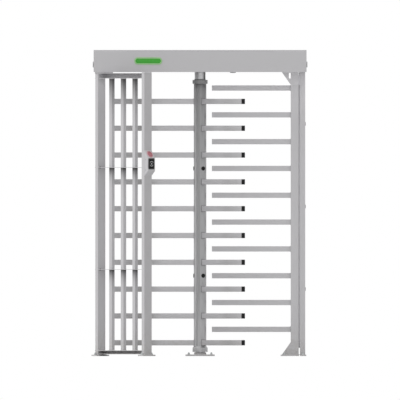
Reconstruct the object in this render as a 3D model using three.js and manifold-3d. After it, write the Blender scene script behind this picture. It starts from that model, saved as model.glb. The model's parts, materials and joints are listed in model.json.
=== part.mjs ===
// Full height turnstile: a three-wing rotor between a barred cage on the left and a fixed comb on the right.
// Millimetres, +Z up. The floor is Z = 0, the rotor turns about Z and the entrance is on the -Y side.
import * as THREE from "three";
import { mergeVertices } from "three/addons/utils/BufferGeometryUtils.js";
import Module from "manifold-3d";

// Fits shared by all pieces
const fitGap = 0.3; // between faces that touch
const turnGap = 0.4; // radial, between a round piece and the bore it turns in
const overrun = 20; // how far a cut runs past the face it opens
const roundSides = 24;
const boreSides = 8;

// Heights
const overallHeight = 2300;
const headerHeight = 166;
const topPlateThickness = 7.4;
const footThickness = 10;

// Arms of the rotor and of the comb: rectangular tube, one above the other
const armHeight = 40;
const armWidth = 30;
const armWall = 2;
const armPitch = 201.5;
const lowestArmHeight = 100;
const topArmRoom = 100; // least height from the top comb arm's centre to the header

// Rotor
const wingRadius = 650; // over the end caps
const capFlange = 3;
const wingAngles = [180, -60, 60];
const coreRadius = 41;
const coreWall = 4;
const saddleWall = 5.7;
const saddleAngle = 112;
const saddleSides = 10;
const plugRadius = 15.5;
const plugProud = 4;
const plugShankRadius = 6;
const plugShankLength = 16;
const plugRowShares = [2.5, 6.5]; // of the arm pitch, above the lowest arm
const collarRadius = 57;
const collarHeight = 30;
const collarChamfer = 3;
const collarDrop = 59; // header underside to the top of the collar
const baseCollarLift = 31;
const baseCollarHeight = 30;
const baseConeHeight = 14;
const shoulderHeight = 6;
const shoulderRadius = 24;
const neckRadius = 38.5;
const neckRoom = 3; // around the neck in the header floor
const spigotDepth = 60;

// Floor pedestal and the two bearings
const pedestalWidth = 220;
const pedestalThickness = 12;
const pedestalBossRadius = 45;
const pedestalBossTop = 28;
const pivotRadius = 20;
const pivotHeight = 90;
const pedestalAnchorOffset = 85;
const lowerBearingRadius = 35.6;
const journalRadius = 30;
const upperBearingRadius = 44.6;
const upperBearingHeight = 24;
const housingWidth = 190;
const housingBaseThickness = 8;
const housingBossRadius = 62;

// Lock disc and pawls
const discRadius = 120;
const discThickness = 10;
const discNotches = 12;
const notchWidth = 26;
const notchDepth = 18;
const discLift = 6; // above the bearing housing
const discSeatRadius = 25;
const spindleTail = 14;
const pawlArm = 90; // pivot to nose, across the nose's travel
const plungerOffset = 35; // nose to plunger
const pawlTip = 14;
const pawlWidth = 20;
const noseWidth = 18;
const noseLength = 30;
const noseGap = 4;
const noseTravel = 14;
const pawlStudRadius = 8;
const pawlShoulderRadius = 14;
const plungerRadius = 6;
const plungerGap = 0.5;
const plungerLength = 104;
const solenoidLength = 60;
const solenoidWidth = 54;
const solenoidHeight = 50;
const solenoidStandoff = 58;
const solenoidBaseWidth = 34;

// Cage
const tipClearance = 15; // arm tips to the slanted panels
const sideClearance = 60; // arm tips to the side panel
const postWidth = 30;
const postDepth = 80;
const postWall = 2.5;
const postCap = 4;
const barWidth = 30;
const barWall = 2;
const barsPerPanel = 3;
const barPitch = 123.25;
const railThickness = 4;
const topRailHeight = 40;
const bottomRailHeight = 30;
const bottomRailLift = 3; // above the foot plates
const hoopShares = { lower: 0.305, upper: 0.664 }; // of the header underside's height
const cageFootWidth = 54;
const cageFootDepth = 134;
const cageAnchorSpan = 108;
const anchorRadius = 7;
const panelAngle = 45;
const tieBeamWidth = 40;
const tieBeamWall = 3;
const tiePadLength = 60;
const tiePadSpread = 400;
const topPlateWidth = 135;

// Comb and side post
const combClearance = 31; // arm tips to the comb post
const combInnerClearance = 41.7; // column to the comb arm tips
const combPostWidth = 60;
const squarePostWall = 3;
const combGap = 9; // comb post to side post
const combFootReach = 76;
const combFootMargin = 2;
const combFootDepth = 150;
const combAnchorSpan = 110;
const combAnchorInset = 28;
const sidePostWidth = 40;
const sidePostDepth = 80;
const sideFootMargin = 8;
const sideFootDepth = 200;
const sideAnchorSpan = 150;
const spacerDepth = 30;
const spacerLift = 62;
const gussetThickness = 5;
const gussetReach = 66.5;
const gussetHeight = 95;
const gussetSlotWidth = 14;
const gussetSlotLength = 44;
const gussetSlotDrop = 27;
const boltShares = { lower: 0.2362, middle: 0.5267, upper: 0.8177 }; // of the header underside's height
const boltRadius = 5.5;
const boltHeadRadius = 14;
const boltHeadHeight = 3.7;
const boltEndRun = 8;

// Header
const leftOverhang = 50; // beyond the cage centre line
const rightOverhang = 10; // beyond the side post
const depthOverhang = 4; // beyond the left posts
const trayWall = 3;
const lidWall = 2;
const lidRim = 9;
const catchWidth = 24;
const catchThickness = 2;
const catchOffset = 30; // in front of the lock axis
const catchInset = 14; // inside the end wall
const catchLip = 8;
const lockHeight = 57; // above the header underside
const lockHeadRadius = 22.5;
const lockHeadHeight = 6;
const lockShankRadius = 10;
const camStandoff = 6;
const camThickness = 3;
const camLength = 38;
const camWidth = 16;
const camLipGap = 1;
const hingeSpread = 1000;
const knuckleLength = 34;
const knuckleRadius = 5;
const hingeLeafHeight = 18;
const rodRadius = 2.2;
const windowLength = 198;
const windowHeight = 42;
const windowInset = 410; // header's left end to the middle of the window
const windowLift = 85; // above the header underside
const lensProud = 2;
const lensFlange = 8;
const lensFlangeThickness = 3;
const controlLength = 250;
const controlDepth = 170;
const controlHeight = 62;
const controlInset = 260; // header's right end to the middle of the box
const supplyLength = 160;
const supplyDepth = 98;
const supplyHeight = 45;
const supplyInset = 240; // header's left end to the middle of the supply

// Card reader on the front guide post
const readerDepth = 36;
const readerWidth = 78;
const readerWall = 2;
const readerSlantWall = 4;
const readerFrontBottom = 1391;
const readerFrontHeight = 96;
const readerTopRise = 59;
const readerBottomDrop = 37;
const readerPanelWidth = 66;
const readerPanelHeight = 82;
const readerPanelThickness = 4;
const readerPanelDrop = 1;
const lampRadius = 22;
const lampBase = 3;
const lampDome = 6;

// Worked out heights
const headerBottom = overallHeight - headerHeight;
const headerFloor = headerBottom + trayWall;
const lidBottom = overallHeight - lidRim;
const postTop = headerBottom - topPlateThickness - 2 * fitGap;
const standTop = headerBottom - fitGap;
const armCount = Math.floor((headerBottom - topArmRoom - lowestArmHeight) / armPitch + 0.5);
const collarTop = headerBottom - collarDrop;
const collarBottom = collarTop - collarHeight;
const columnTop = collarBottom - fitGap;
const baseCollarTop = baseCollarLift + baseCollarHeight;
const coneTop = baseCollarTop + baseConeHeight;
const housingBottom = headerFloor + fitGap;
const housingFloor = housingBottom + housingBaseThickness;
const housingTop = housingFloor + fitGap + upperBearingHeight;
const discBottom = housingTop + discLift;
const discMiddle = discBottom + discThickness / 2;
const lockAxisZ = headerBottom + lockHeight;
const topRailBottom = postTop - topRailHeight;
const bottomRailBottom = footThickness + bottomRailLift;

// Worked out plan of the frame
const saddleInner = coreRadius + fitGap;
const columnRadius = saddleInner + saddleWall;
const tubeEnd = wingRadius - capFlange;
const slant = THREE.MathUtils.degToRad(panelAngle);
const cageDistance = wingRadius + tipClearance + postDepth / 2;
const cageSideX = wingRadius + sideClearance + postDepth / 2;
const leftPostY = (cageDistance - cageSideX * Math.sin(slant)) / Math.cos(slant);
const leftPostAlong = -cageSideX * Math.cos(slant) + leftPostY * Math.sin(slant);
const slantPanelLength = (barsPerPanel + 1) * barPitch;
const guidePostAlong = leftPostAlong + slantPanelLength;
const guidePostX = guidePostAlong * Math.cos(slant) - cageDistance * Math.sin(slant);
const postCornerReach = (postWidth * Math.sin(slant) + postDepth * Math.cos(slant)) / 2;
const headerHalfDepth = leftPostY + postCornerReach + depthOverhang;
const combPostLeft = wingRadius + combClearance;
const combPostRight = combPostLeft + combPostWidth;
const combPostX = (combPostLeft + combPostRight) / 2;
const combTip = columnRadius + combInnerClearance;
const sidePostLeft = combPostRight + combGap;
const sidePostRight = sidePostLeft + sidePostWidth;
const headerLeft = -cageSideX - leftOverhang;
const headerRight = sidePostRight + rightOverhang;
const windowCentre = headerLeft + windowInset;

// Geometry helpers

const wasm = await Module();
wasm.setup();

function solidOf(geometry) {
  const bare = geometry.clone();
  bare.deleteAttribute("normal");
  bare.deleteAttribute("uv");
  const merged = mergeVertices(bare, 1e-4);
  return new wasm.Manifold(
    new wasm.Mesh({
      numProp: 3,
      vertProperties: merged.attributes.position.array,
      triVerts: new Uint32Array(merged.index.array),
    }),
  );
}

function geometryOf(solid) {
  const mesh = solid.getMesh();
  const points = new Float32Array(mesh.numVert * 3);
  for (let i = 0; i < mesh.numVert; i++) {
    points.set(mesh.vertProperties.subarray(i * mesh.numProp, i * mesh.numProp + 3), i * 3);
  }
  const indexed = new THREE.BufferGeometry();
  indexed.setAttribute("position", new THREE.BufferAttribute(points, 3));
  indexed.setIndex(new THREE.BufferAttribute(mesh.triVerts, 1));
  const geometry = indexed.toNonIndexed();
  geometry.computeVertexNormals();
  return geometry;
}

// Joins the first list of geometries and cuts the second list out of it.
function weld(parts, cuts = []) {
  let solid = solidOf(parts[0]);
  for (const part of parts.slice(1)) {
    solid = solid.add(solidOf(part));
  }
  for (const cut of cuts) {
    solid = solid.subtract(solidOf(cut));
  }
  return geometryOf(solid);
}

// A box given by its corners' coordinates along X, Y and Z.
function box(x0, x1, y0, y1, z0, z1) {
  const geometry = new THREE.BoxGeometry(x1 - x0, y1 - y0, z1 - z0);
  return geometry.translate((x0 + x1) / 2, (y0 + y1) / 2, (z0 + z1) / 2);
}

// A box centred in plan, from z0 up to z1.
function column(width, depth, z0, z1) {
  return box(-width / 2, width / 2, -depth / 2, depth / 2, z0, z1);
}

function shapeOf(points) {
  return new THREE.Shape(points.map(([x, y]) => new THREE.Vector2(x, y)));
}

// An outline in the XY plane, raised from z0 to z1.
function prism(shape, z0, z1, curveSegments = boreSides) {
  const options = { depth: z1 - z0, bevelEnabled: false, curveSegments };
  return new THREE.ExtrudeGeometry(shape, options).translate(0, 0, z0);
}

// An outline whose second coordinate is a height, spread from y0 to y1.
function upright(shape, y0, y1, curveSegments = boreSides) {
  return prism(shape, -y1, -y0, curveSegments).rotateX(Math.PI / 2);
}

// A closed profile of [radius, height] points, turned about Z.
function turned(profile, sides = roundSides) {
  const points = profile.map(([r, z]) => new THREE.Vector2(r, z));
  points.push(points[0].clone());
  return new THREE.LatheGeometry(points, sides).rotateX(Math.PI / 2);
}

function rod(radius, z0, z1, sides = boreSides) {
  const geometry = new THREE.CylinderGeometry(radius, radius, z1 - z0, sides);
  return geometry.rotateX(Math.PI / 2).translate(0, 0, (z0 + z1) / 2);
}

function rodAlongX(radius, x0, x1, sides = boreSides) {
  return rod(radius, x0, x1, sides).rotateY(Math.PI / 2);
}

// A slot outline with round ends, its length along X, centred at (x, y).
function slotShape(length, height, x = 0, y = 0) {
  const radius = height / 2;
  const reach = length / 2 - radius;
  const shape = new THREE.Shape();
  shape.absarc(x + reach, y, radius, -Math.PI / 2, Math.PI / 2, false);
  shape.absarc(x - reach, y, radius, Math.PI / 2, (3 * Math.PI) / 2, false);
  return shape;
}

const turnstile = new THREE.Group();

function piece(name, geometry, material, parent = turnstile) {
  const mesh = new THREE.Mesh(geometry, material);
  mesh.name = name;
  parent.add(mesh);
  return mesh;
}

function finish(color, roughness, metalness) {
  return new THREE.MeshStandardMaterial({ color, roughness, metalness });
}

const paintedSteel = finish(0xc4c3c5, 0.55, 0.1);
const satinSteel = finish(0x8f8e90, 0.35, 0.9);
const machinedSteel = finish(0xb8b8ba, 0.2, 1);
const zincSteel = finish(0xa8adae, 0.4, 0.8);
const blackPlastic = finish(0x1e1e1e, 0.5, 0);
const greenLens = finish(0x469b32, 0.3, 0);
const redLens = finish(0xb02a35, 0.25, 0);
const darkCase = finish(0x3a3c40, 0.5, 0.3);

// Cage

// The outline of a rail or hoop, whose ends follow posts that may stand at an angle to the panel.
function railOutline(length, mitre, halfWidthIn, halfWidthOut) {
  const inset = (postWidth / 2 + fitGap) / Math.cos(mitre);
  const endAt = (y) => length / 2 - inset - y * Math.tan(mitre);
  return [
    [-endAt(halfWidthOut), halfWidthOut],
    [endAt(halfWidthOut), halfWidthOut],
    [endAt(halfWidthIn), halfWidthIn],
    [-endAt(halfWidthIn), halfWidthIn],
  ];
}

function barPlaces(length) {
  const pitch = length / (barsPerPanel + 1);
  return Array.from({ length: barsPerPanel }, (_, i) => (i + 1) * pitch - length / 2);
}

// Bars welded between two channels that are open towards the outside of the cage (local -Y).
function cagePanel(length, mitre) {
  const half = postDepth / 2;
  const flange = shapeOf(railOutline(length, mitre, half, -half));
  const web = shapeOf(railOutline(length, mitre, half, half - railThickness));
  const topFlangeFrom = postTop - railThickness;
  const bottomRailTop = bottomRailBottom + bottomRailHeight;
  const parts = [
    prism(web, topRailBottom, postTop),
    prism(flange, topRailBottom, topRailBottom + railThickness),
    prism(flange, topFlangeFrom, postTop),
    prism(web, bottomRailBottom, bottomRailTop),
    prism(flange, bottomRailBottom, bottomRailBottom + railThickness),
    prism(flange, bottomRailTop - railThickness, bottomRailTop),
  ];
  const cuts = [];
  const bore = barWidth - 2 * barWall;
  for (const x of barPlaces(length)) {
    const barFrom = bottomRailTop - railThickness / 2;
    const barTo = topRailBottom + railThickness / 2;
    const boreTo = topRailBottom + 2 * railThickness;
    parts.push(column(barWidth, barWidth, barFrom, barTo).translate(x, 0, 0));
    cuts.push(column(bore, bore, bottomRailTop, boreTo).translate(x, 0, 0));
  }
  return weld(parts, cuts);
}

// A flat plate that the bars pass through.
function cageHoop(length, mitre, z) {
  const half = postDepth / 2;
  const low = z - railThickness / 2;
  const high = z + railThickness / 2;
  const hole = column(barWidth + 2 * fitGap, barWidth + 2 * fitGap, low - overrun, high + overrun);
  return weld(
    [prism(shapeOf(railOutline(length, mitre, half, -half)), low, high)],
    barPlaces(length).map((x) => hole.clone().translate(x, 0, 0)),
  );
}

// A hollow post on a foot plate; the hollow is open underneath.
function cagePost() {
  const bore = [postWidth - 2 * postWall, postDepth - 2 * postWall];
  const anchor = rod(anchorRadius, -overrun, footThickness + overrun);
  return weld(
    [
      column(postWidth, postDepth, 0, postTop),
      column(cageFootWidth, cageFootDepth, 0, footThickness),
    ],
    [
      column(...bore, -overrun, postTop - postCap),
      anchor.clone().translate(0, cageAnchorSpan / 2, 0),
      anchor.clone().translate(0, -cageAnchorSpan / 2, 0),
    ],
  );
}

// Each panel group is turned so that local +Y points at the rotor axis and the panel stands at -Y.
function cageSide(name, angle, centre, distance, length, mitre) {
  const side = new THREE.Group();
  side.rotation.z = angle;
  turnstile.add(side);
  const panel = piece("cage_panel_" + name, cagePanel(length, mitre), paintedSteel, side);
  panel.position.set(centre, -distance, 0);
  for (const [level, share] of Object.entries(hoopShares)) {
    const plate = cageHoop(length, mitre, share * headerBottom);
    const hoop = piece("hoop_" + name + "_" + level, plate, paintedSteel, side);
    hoop.position.set(centre, -distance, 0);
  }
  return side;
}

const slantCentre = (leftPostAlong + guidePostAlong) / 2;
const frontSide = cageSide("front", -slant, slantCentre, cageDistance, slantPanelLength, 0);
const rearSide = cageSide("rear", slant - Math.PI, -slantCentre, cageDistance, slantPanelLength, 0);
cageSide("side", -Math.PI / 2, 0, cageSideX, 2 * leftPostY, Math.PI / 2 - slant);

for (const [post, along] of Object.entries({ left_post: leftPostAlong, guide_post: guidePostAlong })) {
  piece(post + "_front", cagePost(), paintedSteel, frontSide).position.set(along, -cageDistance, 0);
  piece(post + "_rear", cagePost(), paintedSteel, rearSide).position.set(-along, -cageDistance, 0);
}

const topPlateFrom = -cageSideX - postDepth / 2;
const topPlateHalf = leftPostY + postCornerReach;
piece(
  "cage_top_plate",
  box(
    topPlateFrom,
    topPlateFrom + topPlateWidth,
    -topPlateHalf,
    topPlateHalf,
    postTop + fitGap,
    postTop + fitGap + topPlateThickness,
  ),
  paintedSteel,
);

// A square tube under the header; its slanted ends lie on the inner faces of the front and rear panels.
function tieBeam() {
  const reach = (cageDistance - postDepth / 2 - fitGap) / Math.cos(slant);
  const outline = (halfWidth, extra) => {
    const left = guidePostX - halfWidth;
    const right = guidePostX + halfWidth;
    const endAt = (x) => reach + x * Math.tan(slant) + extra;
    return shapeOf([
      [left, -endAt(left)],
      [right, -endAt(right)],
      [right, endAt(right)],
      [left, endAt(left)],
    ]);
  };
  const half = tieBeamWidth / 2;
  const parts = [prism(outline(half, 0), topRailBottom, postTop)];
  for (const side of [-1, 1]) {
    const y = (side * tiePadSpread) / 2;
    parts.push(
      box(
        guidePostX - half,
        guidePostX + half,
        y - tiePadLength / 2,
        y + tiePadLength / 2,
        postTop - tieBeamWall / 2,
        standTop,
      ),
    );
  }
  const boreOutline = outline(half - tieBeamWall, overrun);
  return weld(parts, [prism(boreOutline, topRailBottom + tieBeamWall, postTop - tieBeamWall)]);
}
piece("tie_beam", tieBeam(), paintedSteel);

// Card reader: a hood with slanted top and bottom, its back open against the guide post.
const readerFrontTop = readerFrontBottom + readerFrontHeight;
const readerBackX = guidePostAlong + postWidth / 2 + fitGap;

function readerHousing() {
  const outer = shapeOf([
    [0, readerFrontBottom - readerBottomDrop],
    [readerDepth, readerFrontBottom],
    [readerDepth, readerFrontTop],
    [0, readerFrontTop + readerTopRise],
  ]);
  const innerX = readerDepth - readerWall;
  const slopeUp = readerTopRise / readerDepth;
  const slopeDown = readerBottomDrop / readerDepth;
  const topAt = (x) => readerFrontTop + (readerDepth - x) * slopeUp - readerSlantWall;
  const bottomAt = (x) => readerFrontBottom - (readerDepth - x) * slopeDown + readerSlantWall;
  const inner = shapeOf([
    [0, bottomAt(0)],
    [innerX, bottomAt(innerX)],
    [innerX, topAt(innerX)],
    [0, topAt(0)],
    [-overrun, topAt(0)],
    [-overrun, bottomAt(0)],
  ]);
  const half = readerWidth / 2;
  return weld([upright(outer, -half, half)], [upright(inner, readerWall - half, half - readerWall)]);
}
piece("reader_housing", readerHousing(), paintedSteel, frontSide).position.set(readerBackX, -cageDistance, 0);

const readerPanelTop = readerFrontTop - readerPanelDrop;
const readerPlate = box(
  fitGap,
  fitGap + readerPanelThickness,
  -readerPanelWidth / 2,
  readerPanelWidth / 2,
  readerPanelTop - readerPanelHeight,
  readerPanelTop,
);
const readerPanel = piece("reader_panel", readerPlate, blackPlastic, frontSide);
readerPanel.position.set(readerBackX + readerDepth, -cageDistance, 0);

// The lamp's dome stands on the middle of the hood's slanted top.
const lampLens = turned([
  [0, 0],
  [lampRadius, 0],
  [lampRadius, lampBase],
  [lampRadius * Math.cos(Math.PI / 6), lampBase + lampDome / 2],
  [lampRadius / 2, lampBase + lampDome * Math.cos(Math.PI / 6)],
  [0, lampBase + lampDome],
]);
const lampTilt = Math.atan2(readerTopRise, readerDepth);
const lamp = piece("status_lamp", lampLens, redLens, frontSide);
lamp.rotation.y = lampTilt;
lamp.position.set(
  readerBackX + readerDepth / 2 + fitGap * Math.sin(lampTilt),
  -cageDistance,
  readerFrontTop + readerTopRise / 2 + fitGap * Math.cos(lampTilt),
);

// Comb and side post

function squarePost(width, depth, foot, anchors) {
  const anchor = rod(anchorRadius, -overrun, footThickness + overrun);
  return {
    parts: [column(width, depth, 0, standTop), foot],
    cuts: [
      column(width - 2 * squarePostWall, depth - 2 * squarePostWall, -overrun, standTop - postCap),
      ...anchors.map(([x, y]) => anchor.clone().translate(x, y, 0)),
    ],
  };
}

function boltHoles(x0, x1) {
  const hole = rodAlongX(boltRadius + turnGap, x0, x1);
  return Object.values(boltShares).map((share) => hole.clone().translate(0, 0, share * headerBottom));
}

// Comb post with its arms; the arms' hollows open into the post.
function combFrame() {
  const half = combPostWidth / 2;
  const footFrom = -half - combFootReach;
  const foot = box(
    footFrom,
    half + combFootMargin,
    -combFootDepth / 2,
    combFootDepth / 2,
    0,
    footThickness,
  );
  const anchorX = footFrom + combAnchorInset;
  const anchors = [[anchorX, combAnchorSpan / 2], [anchorX, -combAnchorSpan / 2]];
  const { parts, cuts } = squarePost(combPostWidth, combPostWidth, foot, anchors);
  const tip = combTip - combPostX;
  for (let i = 0; i < armCount; i++) {
    const z = lowestArmHeight + (i + 0.5) * armPitch;
    const hollowY = armWidth / 2 - armWall;
    const hollowZ = armHeight / 2 - armWall;
    const rootX = -half + squarePostWall;
    parts.push(box(tip, rootX, -armWidth / 2, armWidth / 2, z - armHeight / 2, z + armHeight / 2));
    cuts.push(box(tip + armWall, rootX + armWall, -hollowY, hollowY, z - hollowZ, z + hollowZ));
  }
  cuts.push(...boltHoles(0, half + overrun));
  return weld(parts, cuts);
}
piece("comb_frame", combFrame(), paintedSteel).position.x = combPostX;

function sidePost() {
  const half = sidePostWidth / 2;
  const foot = box(-half, half + sideFootMargin, -sideFootDepth / 2, sideFootDepth / 2, 0, footThickness);
  const anchors = [[0, sideAnchorSpan / 2], [0, -sideAnchorSpan / 2]];
  const { parts, cuts } = squarePost(sidePostWidth, sidePostDepth, foot, anchors);
  cuts.push(...boltHoles(-half - overrun, half + overrun));
  return weld(parts, cuts);
}
piece("side_post", sidePost(), paintedSteel).position.x = sidePostLeft + sidePostWidth / 2;

const spacer = box(
  combPostRight + fitGap,
  sidePostLeft - fitGap,
  -spacerDepth / 2,
  spacerDepth / 2,
  spacerLift,
  standTop - gussetHeight,
);
piece(
  "comb_spacer",
  weld([spacer], boltHoles(combPostRight - overrun, sidePostLeft + overrun)),
  paintedSteel,
);

for (const [level, share] of Object.entries(boltShares)) {
  const headFrom = sidePostRight + fitGap;
  const bolt = weld([
    rodAlongX(boltRadius, combPostRight - squarePostWall - boltEndRun, headFrom + boltHeadHeight / 2),
    rodAlongX(boltHeadRadius, headFrom, headFrom + boltHeadHeight, roundSides / 2),
  ]);
  piece("comb_bolt_" + level, bolt, zincSteel).position.z = share * headerBottom;
}

// Gusset on the front of the comb post, wide where it meets the floor (up = 1) or the header (up = -1).
function gusset(up) {
  const half = combPostWidth / 2;
  const shape = shapeOf([
    [-half - gussetReach, 0],
    [half, 0],
    [half, up * gussetHeight],
    [-half, up * gussetHeight],
  ]);
  const front = half + fitGap;
  return upright(shape, -front - gussetThickness, -front);
}
piece("gusset_bottom", gusset(1), paintedSteel).position.set(combPostX, 0, footThickness + fitGap);

const gussetSlot = upright(slotShape(gussetSlotLength, gussetSlotWidth), -combPostWidth, 0);
gussetSlot.rotateY(Math.PI / 2);
gussetSlot.translate(-(combPostWidth + gussetSlotWidth) / 2, 0, -gussetSlotDrop);
piece("gusset_top", weld([gusset(-1)], [gussetSlot]), paintedSteel).position.set(combPostX, 0, standTop);

// Pedestal and lower bearing

function pedestal() {
  const anchor = rod(anchorRadius, -overrun, pedestalThickness + overrun);
  const cuts = [];
  for (const x of [-pedestalAnchorOffset, pedestalAnchorOffset]) {
    for (const y of [-pedestalAnchorOffset, pedestalAnchorOffset]) {
      cuts.push(anchor.clone().translate(x, y, 0));
    }
  }
  const parts = [
    column(pedestalWidth, pedestalWidth, 0, pedestalThickness),
    rod(pedestalBossRadius, pedestalThickness / 2, pedestalBossTop, roundSides),
    rod(pivotRadius, pedestalThickness / 2, pivotHeight, roundSides),
  ];
  return weld(parts, cuts);
}
piece("floor_pedestal", pedestal(), paintedSteel);

const bearingSeatTop = baseCollarTop - shoulderHeight;
const lowerBearing = turned([
  [pivotRadius + turnGap, pedestalBossTop + fitGap],
  [lowerBearingRadius, pedestalBossTop + fitGap],
  [lowerBearingRadius, bearingSeatTop - fitGap],
  [pivotRadius + turnGap, bearingSeatTop - fitGap],
]);
piece("lower_bearing", lowerBearing, machinedSteel);

// Rotor

const rotor = new THREE.Group();
turnstile.add(rotor);

function plugHoles(x0, x1) {
  const hole = rodAlongX(plugShankRadius + turnGap, x0, x1);
  return plugRowShares.map((share) => hole.clone().translate(0, 0, lowestArmHeight + share * armPitch));
}

function coreTube() {
  const inner = coreRadius - coreWall;
  const bottom = baseCollarTop + fitGap;
  const tube = turned([
    [inner, bottom],
    [coreRadius, bottom],
    [coreRadius, columnTop],
    [inner, columnTop],
  ]);
  const cuts = wingAngles.flatMap((angle) =>
    plugHoles(0, columnRadius + overrun).map((hole) => hole.rotateZ(THREE.MathUtils.degToRad(angle))),
  );
  return weld([tube], cuts);
}
piece("rotor_column", coreTube(), satinSteel, rotor);

// A wing: a curved strip that fits the column, with hollow arms that are open at the tip.
function wing() {
  const spread = THREE.MathUtils.degToRad(saddleAngle) / 2;
  const strip = new THREE.Shape();
  strip.absarc(0, 0, columnRadius, -spread, spread, false);
  strip.absarc(0, 0, saddleInner, spread, -spread, true);
  const parts = [prism(strip, coneTop + fitGap, columnTop, saddleSides)];
  const cuts = plugHoles(0, columnRadius + overrun);
  const rootX = saddleInner + saddleWall / 3;
  const hollowY = armWidth / 2 - armWall;
  const hollowZ = armHeight / 2 - armWall;
  for (let i = 0; i < armCount; i++) {
    const z = lowestArmHeight + i * armPitch;
    parts.push(box(rootX, tubeEnd, -armWidth / 2, armWidth / 2, z - armHeight / 2, z + armHeight / 2));
    cuts.push(box(columnRadius + armWall, tubeEnd + overrun, -hollowY, hollowY, z - hollowZ, z + hollowZ));
  }
  return weld(parts, cuts);
}

function wingPlug() {
  const headFrom = columnRadius + fitGap;
  const headTo = headFrom + plugProud;
  return weld([
    rodAlongX(plugRadius, headFrom, headTo, roundSides / 2),
    rodAlongX(plugShankRadius, headTo - plugShankLength, headTo - plugProud / 2),
  ]);
}

const wingNames = ["a", "b", "c"];
wingAngles.forEach((angle, i) => {
  const turn = THREE.MathUtils.degToRad(angle);
  piece("wing_" + wingNames[i], wing(), paintedSteel, rotor).rotation.z = turn;
  plugRowShares.forEach((share, row) => {
    const plug = piece("wing_plug_" + wingNames[i] + (row + 1), wingPlug(), blackPlastic, rotor);
    plug.rotation.z = turn;
    plug.position.z = lowestArmHeight + share * armPitch;
  });
});

const topCollar = turned([
  [neckRadius + fitGap, collarBottom],
  [collarRadius - collarChamfer, collarBottom],
  [collarRadius, collarBottom + collarChamfer],
  [collarRadius, collarTop],
  [neckRadius + fitGap, collarTop],
]);
piece("top_collar", topCollar, satinSteel, rotor);

const bottomCollar = turned([
  [lowerBearingRadius + turnGap, baseCollarLift],
  [collarRadius, baseCollarLift],
  [collarRadius, baseCollarTop],
  [columnRadius, coneTop],
  [coreRadius + fitGap, coneTop],
  [coreRadius + fitGap, baseCollarTop],
  [shoulderRadius, baseCollarTop],
  [shoulderRadius, bearingSeatTop],
  [lowerBearingRadius + turnGap, bearingSeatTop],
]);
piece("bottom_collar", bottomCollar, satinSteel, rotor);

const spigotRadius = coreRadius - coreWall - fitGap;
const spindle = turned([
  [0, columnTop - spigotDepth],
  [spigotRadius, columnTop - spigotDepth],
  [spigotRadius, columnTop + fitGap],
  [neckRadius, columnTop + fitGap],
  [neckRadius, housingFloor],
  [journalRadius, housingFloor],
  [journalRadius, discBottom - fitGap],
  [discSeatRadius, discBottom - fitGap],
  [discSeatRadius, discBottom + discThickness + spindleTail],
  [0, discBottom + discThickness + spindleTail],
]);
piece("spindle", spindle, machinedSteel, rotor);

function lockDisc() {
  const shape = new THREE.Shape();
  const mouth = Math.asin(notchWidth / 2 / discRadius);
  const pitch = (2 * Math.PI) / discNotches;
  const points = [];
  for (let i = 0; i < discNotches; i++) {
    const middle = i * pitch;
    const bottom = discRadius - notchDepth;
    for (const side of [-1, 1]) {
      const across = (side * notchWidth) / 2;
      points.push([
        bottom * Math.cos(middle) - across * Math.sin(middle),
        bottom * Math.sin(middle) + across * Math.cos(middle),
      ]);
    }
    for (const share of [0, 1 / 3, 2 / 3, 1]) {
      const angle = middle + mouth + share * (pitch - 2 * mouth);
      points.push([discRadius * Math.cos(angle), discRadius * Math.sin(angle)]);
    }
  }
  shape.setFromPoints(points.map(([x, y]) => new THREE.Vector2(x, y)));
  const hole = new THREE.Path();
  hole.absarc(0, 0, discSeatRadius + fitGap, 0, 2 * Math.PI, true);
  shape.holes.push(hole);
  return prism(shape, discBottom, discBottom + discThickness, roundSides / 2);
}
piece("lock_disc", lockDisc(), zincSteel, rotor);

// Bearing housing in the header

function bearingHousing() {
  const half = housingWidth / 2;
  return weld(
    [
      box(-half, half, -half, half, housingBottom, housingFloor),
      rod(housingBossRadius, housingFloor - housingBaseThickness / 2, housingTop, roundSides),
    ],
    [
      rod(neckRadius + neckRoom, housingBottom - overrun, housingTop + overrun, roundSides),
      rod(upperBearingRadius + turnGap, housingFloor, housingTop + overrun, roundSides),
    ],
  );
}
piece("bearing_housing", bearingHousing(), zincSteel);

const upperBearing = turned([
  [journalRadius + turnGap, housingFloor + fitGap],
  [upperBearingRadius, housingFloor + fitGap],
  [upperBearingRadius, housingTop],
  [journalRadius + turnGap, housingTop],
]);
piece("upper_bearing", upperBearing, machinedSteel);

// Pawls, plungers and solenoids: the right hand set is the left hand one turned half a turn

const pawlLineX = -discRadius - noseGap - noseLength - pawlWidth / 2;
const pawlPivotX = -discRadius - noseGap + noseTravel / 2;

// A lever beside the disc. Its pivot lies level with the tip of the nose, so that the nose moves straight in.
function pawl() {
  const half = pawlWidth / 2;
  const left = pawlLineX - half;
  const top = discBottom + discThickness;
  return weld(
    [
      box(left, pawlLineX + half, -pawlArm - half, plungerOffset + pawlTip, discBottom, top),
      box(pawlLineX, pawlLineX + half + noseLength, -noseWidth / 2, noseWidth / 2, discBottom, top),
      box(left, pawlPivotX, -pawlArm - half, half - pawlArm, discBottom, top),
      rod(pawlShoulderRadius, discBottom, top, roundSides / 2).translate(pawlPivotX, -pawlArm, 0),
    ],
    [
      rod(pawlStudRadius + turnGap, discBottom - overrun, top + overrun, roundSides / 2)
        .translate(pawlPivotX, -pawlArm, 0),
    ],
  );
}

function plunger() {
  const tip = -pawlWidth / 2 - plungerGap;
  const shoulder = tip - plungerRadius;
  const end = new THREE.SphereGeometry(plungerRadius, boreSides, boreSides / 2);
  return weld([
    rodAlongX(plungerRadius, tip - plungerLength, shoulder),
    end.rotateZ(Math.PI / 2).translate(shoulder, 0, 0),
  ]);
}

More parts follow.
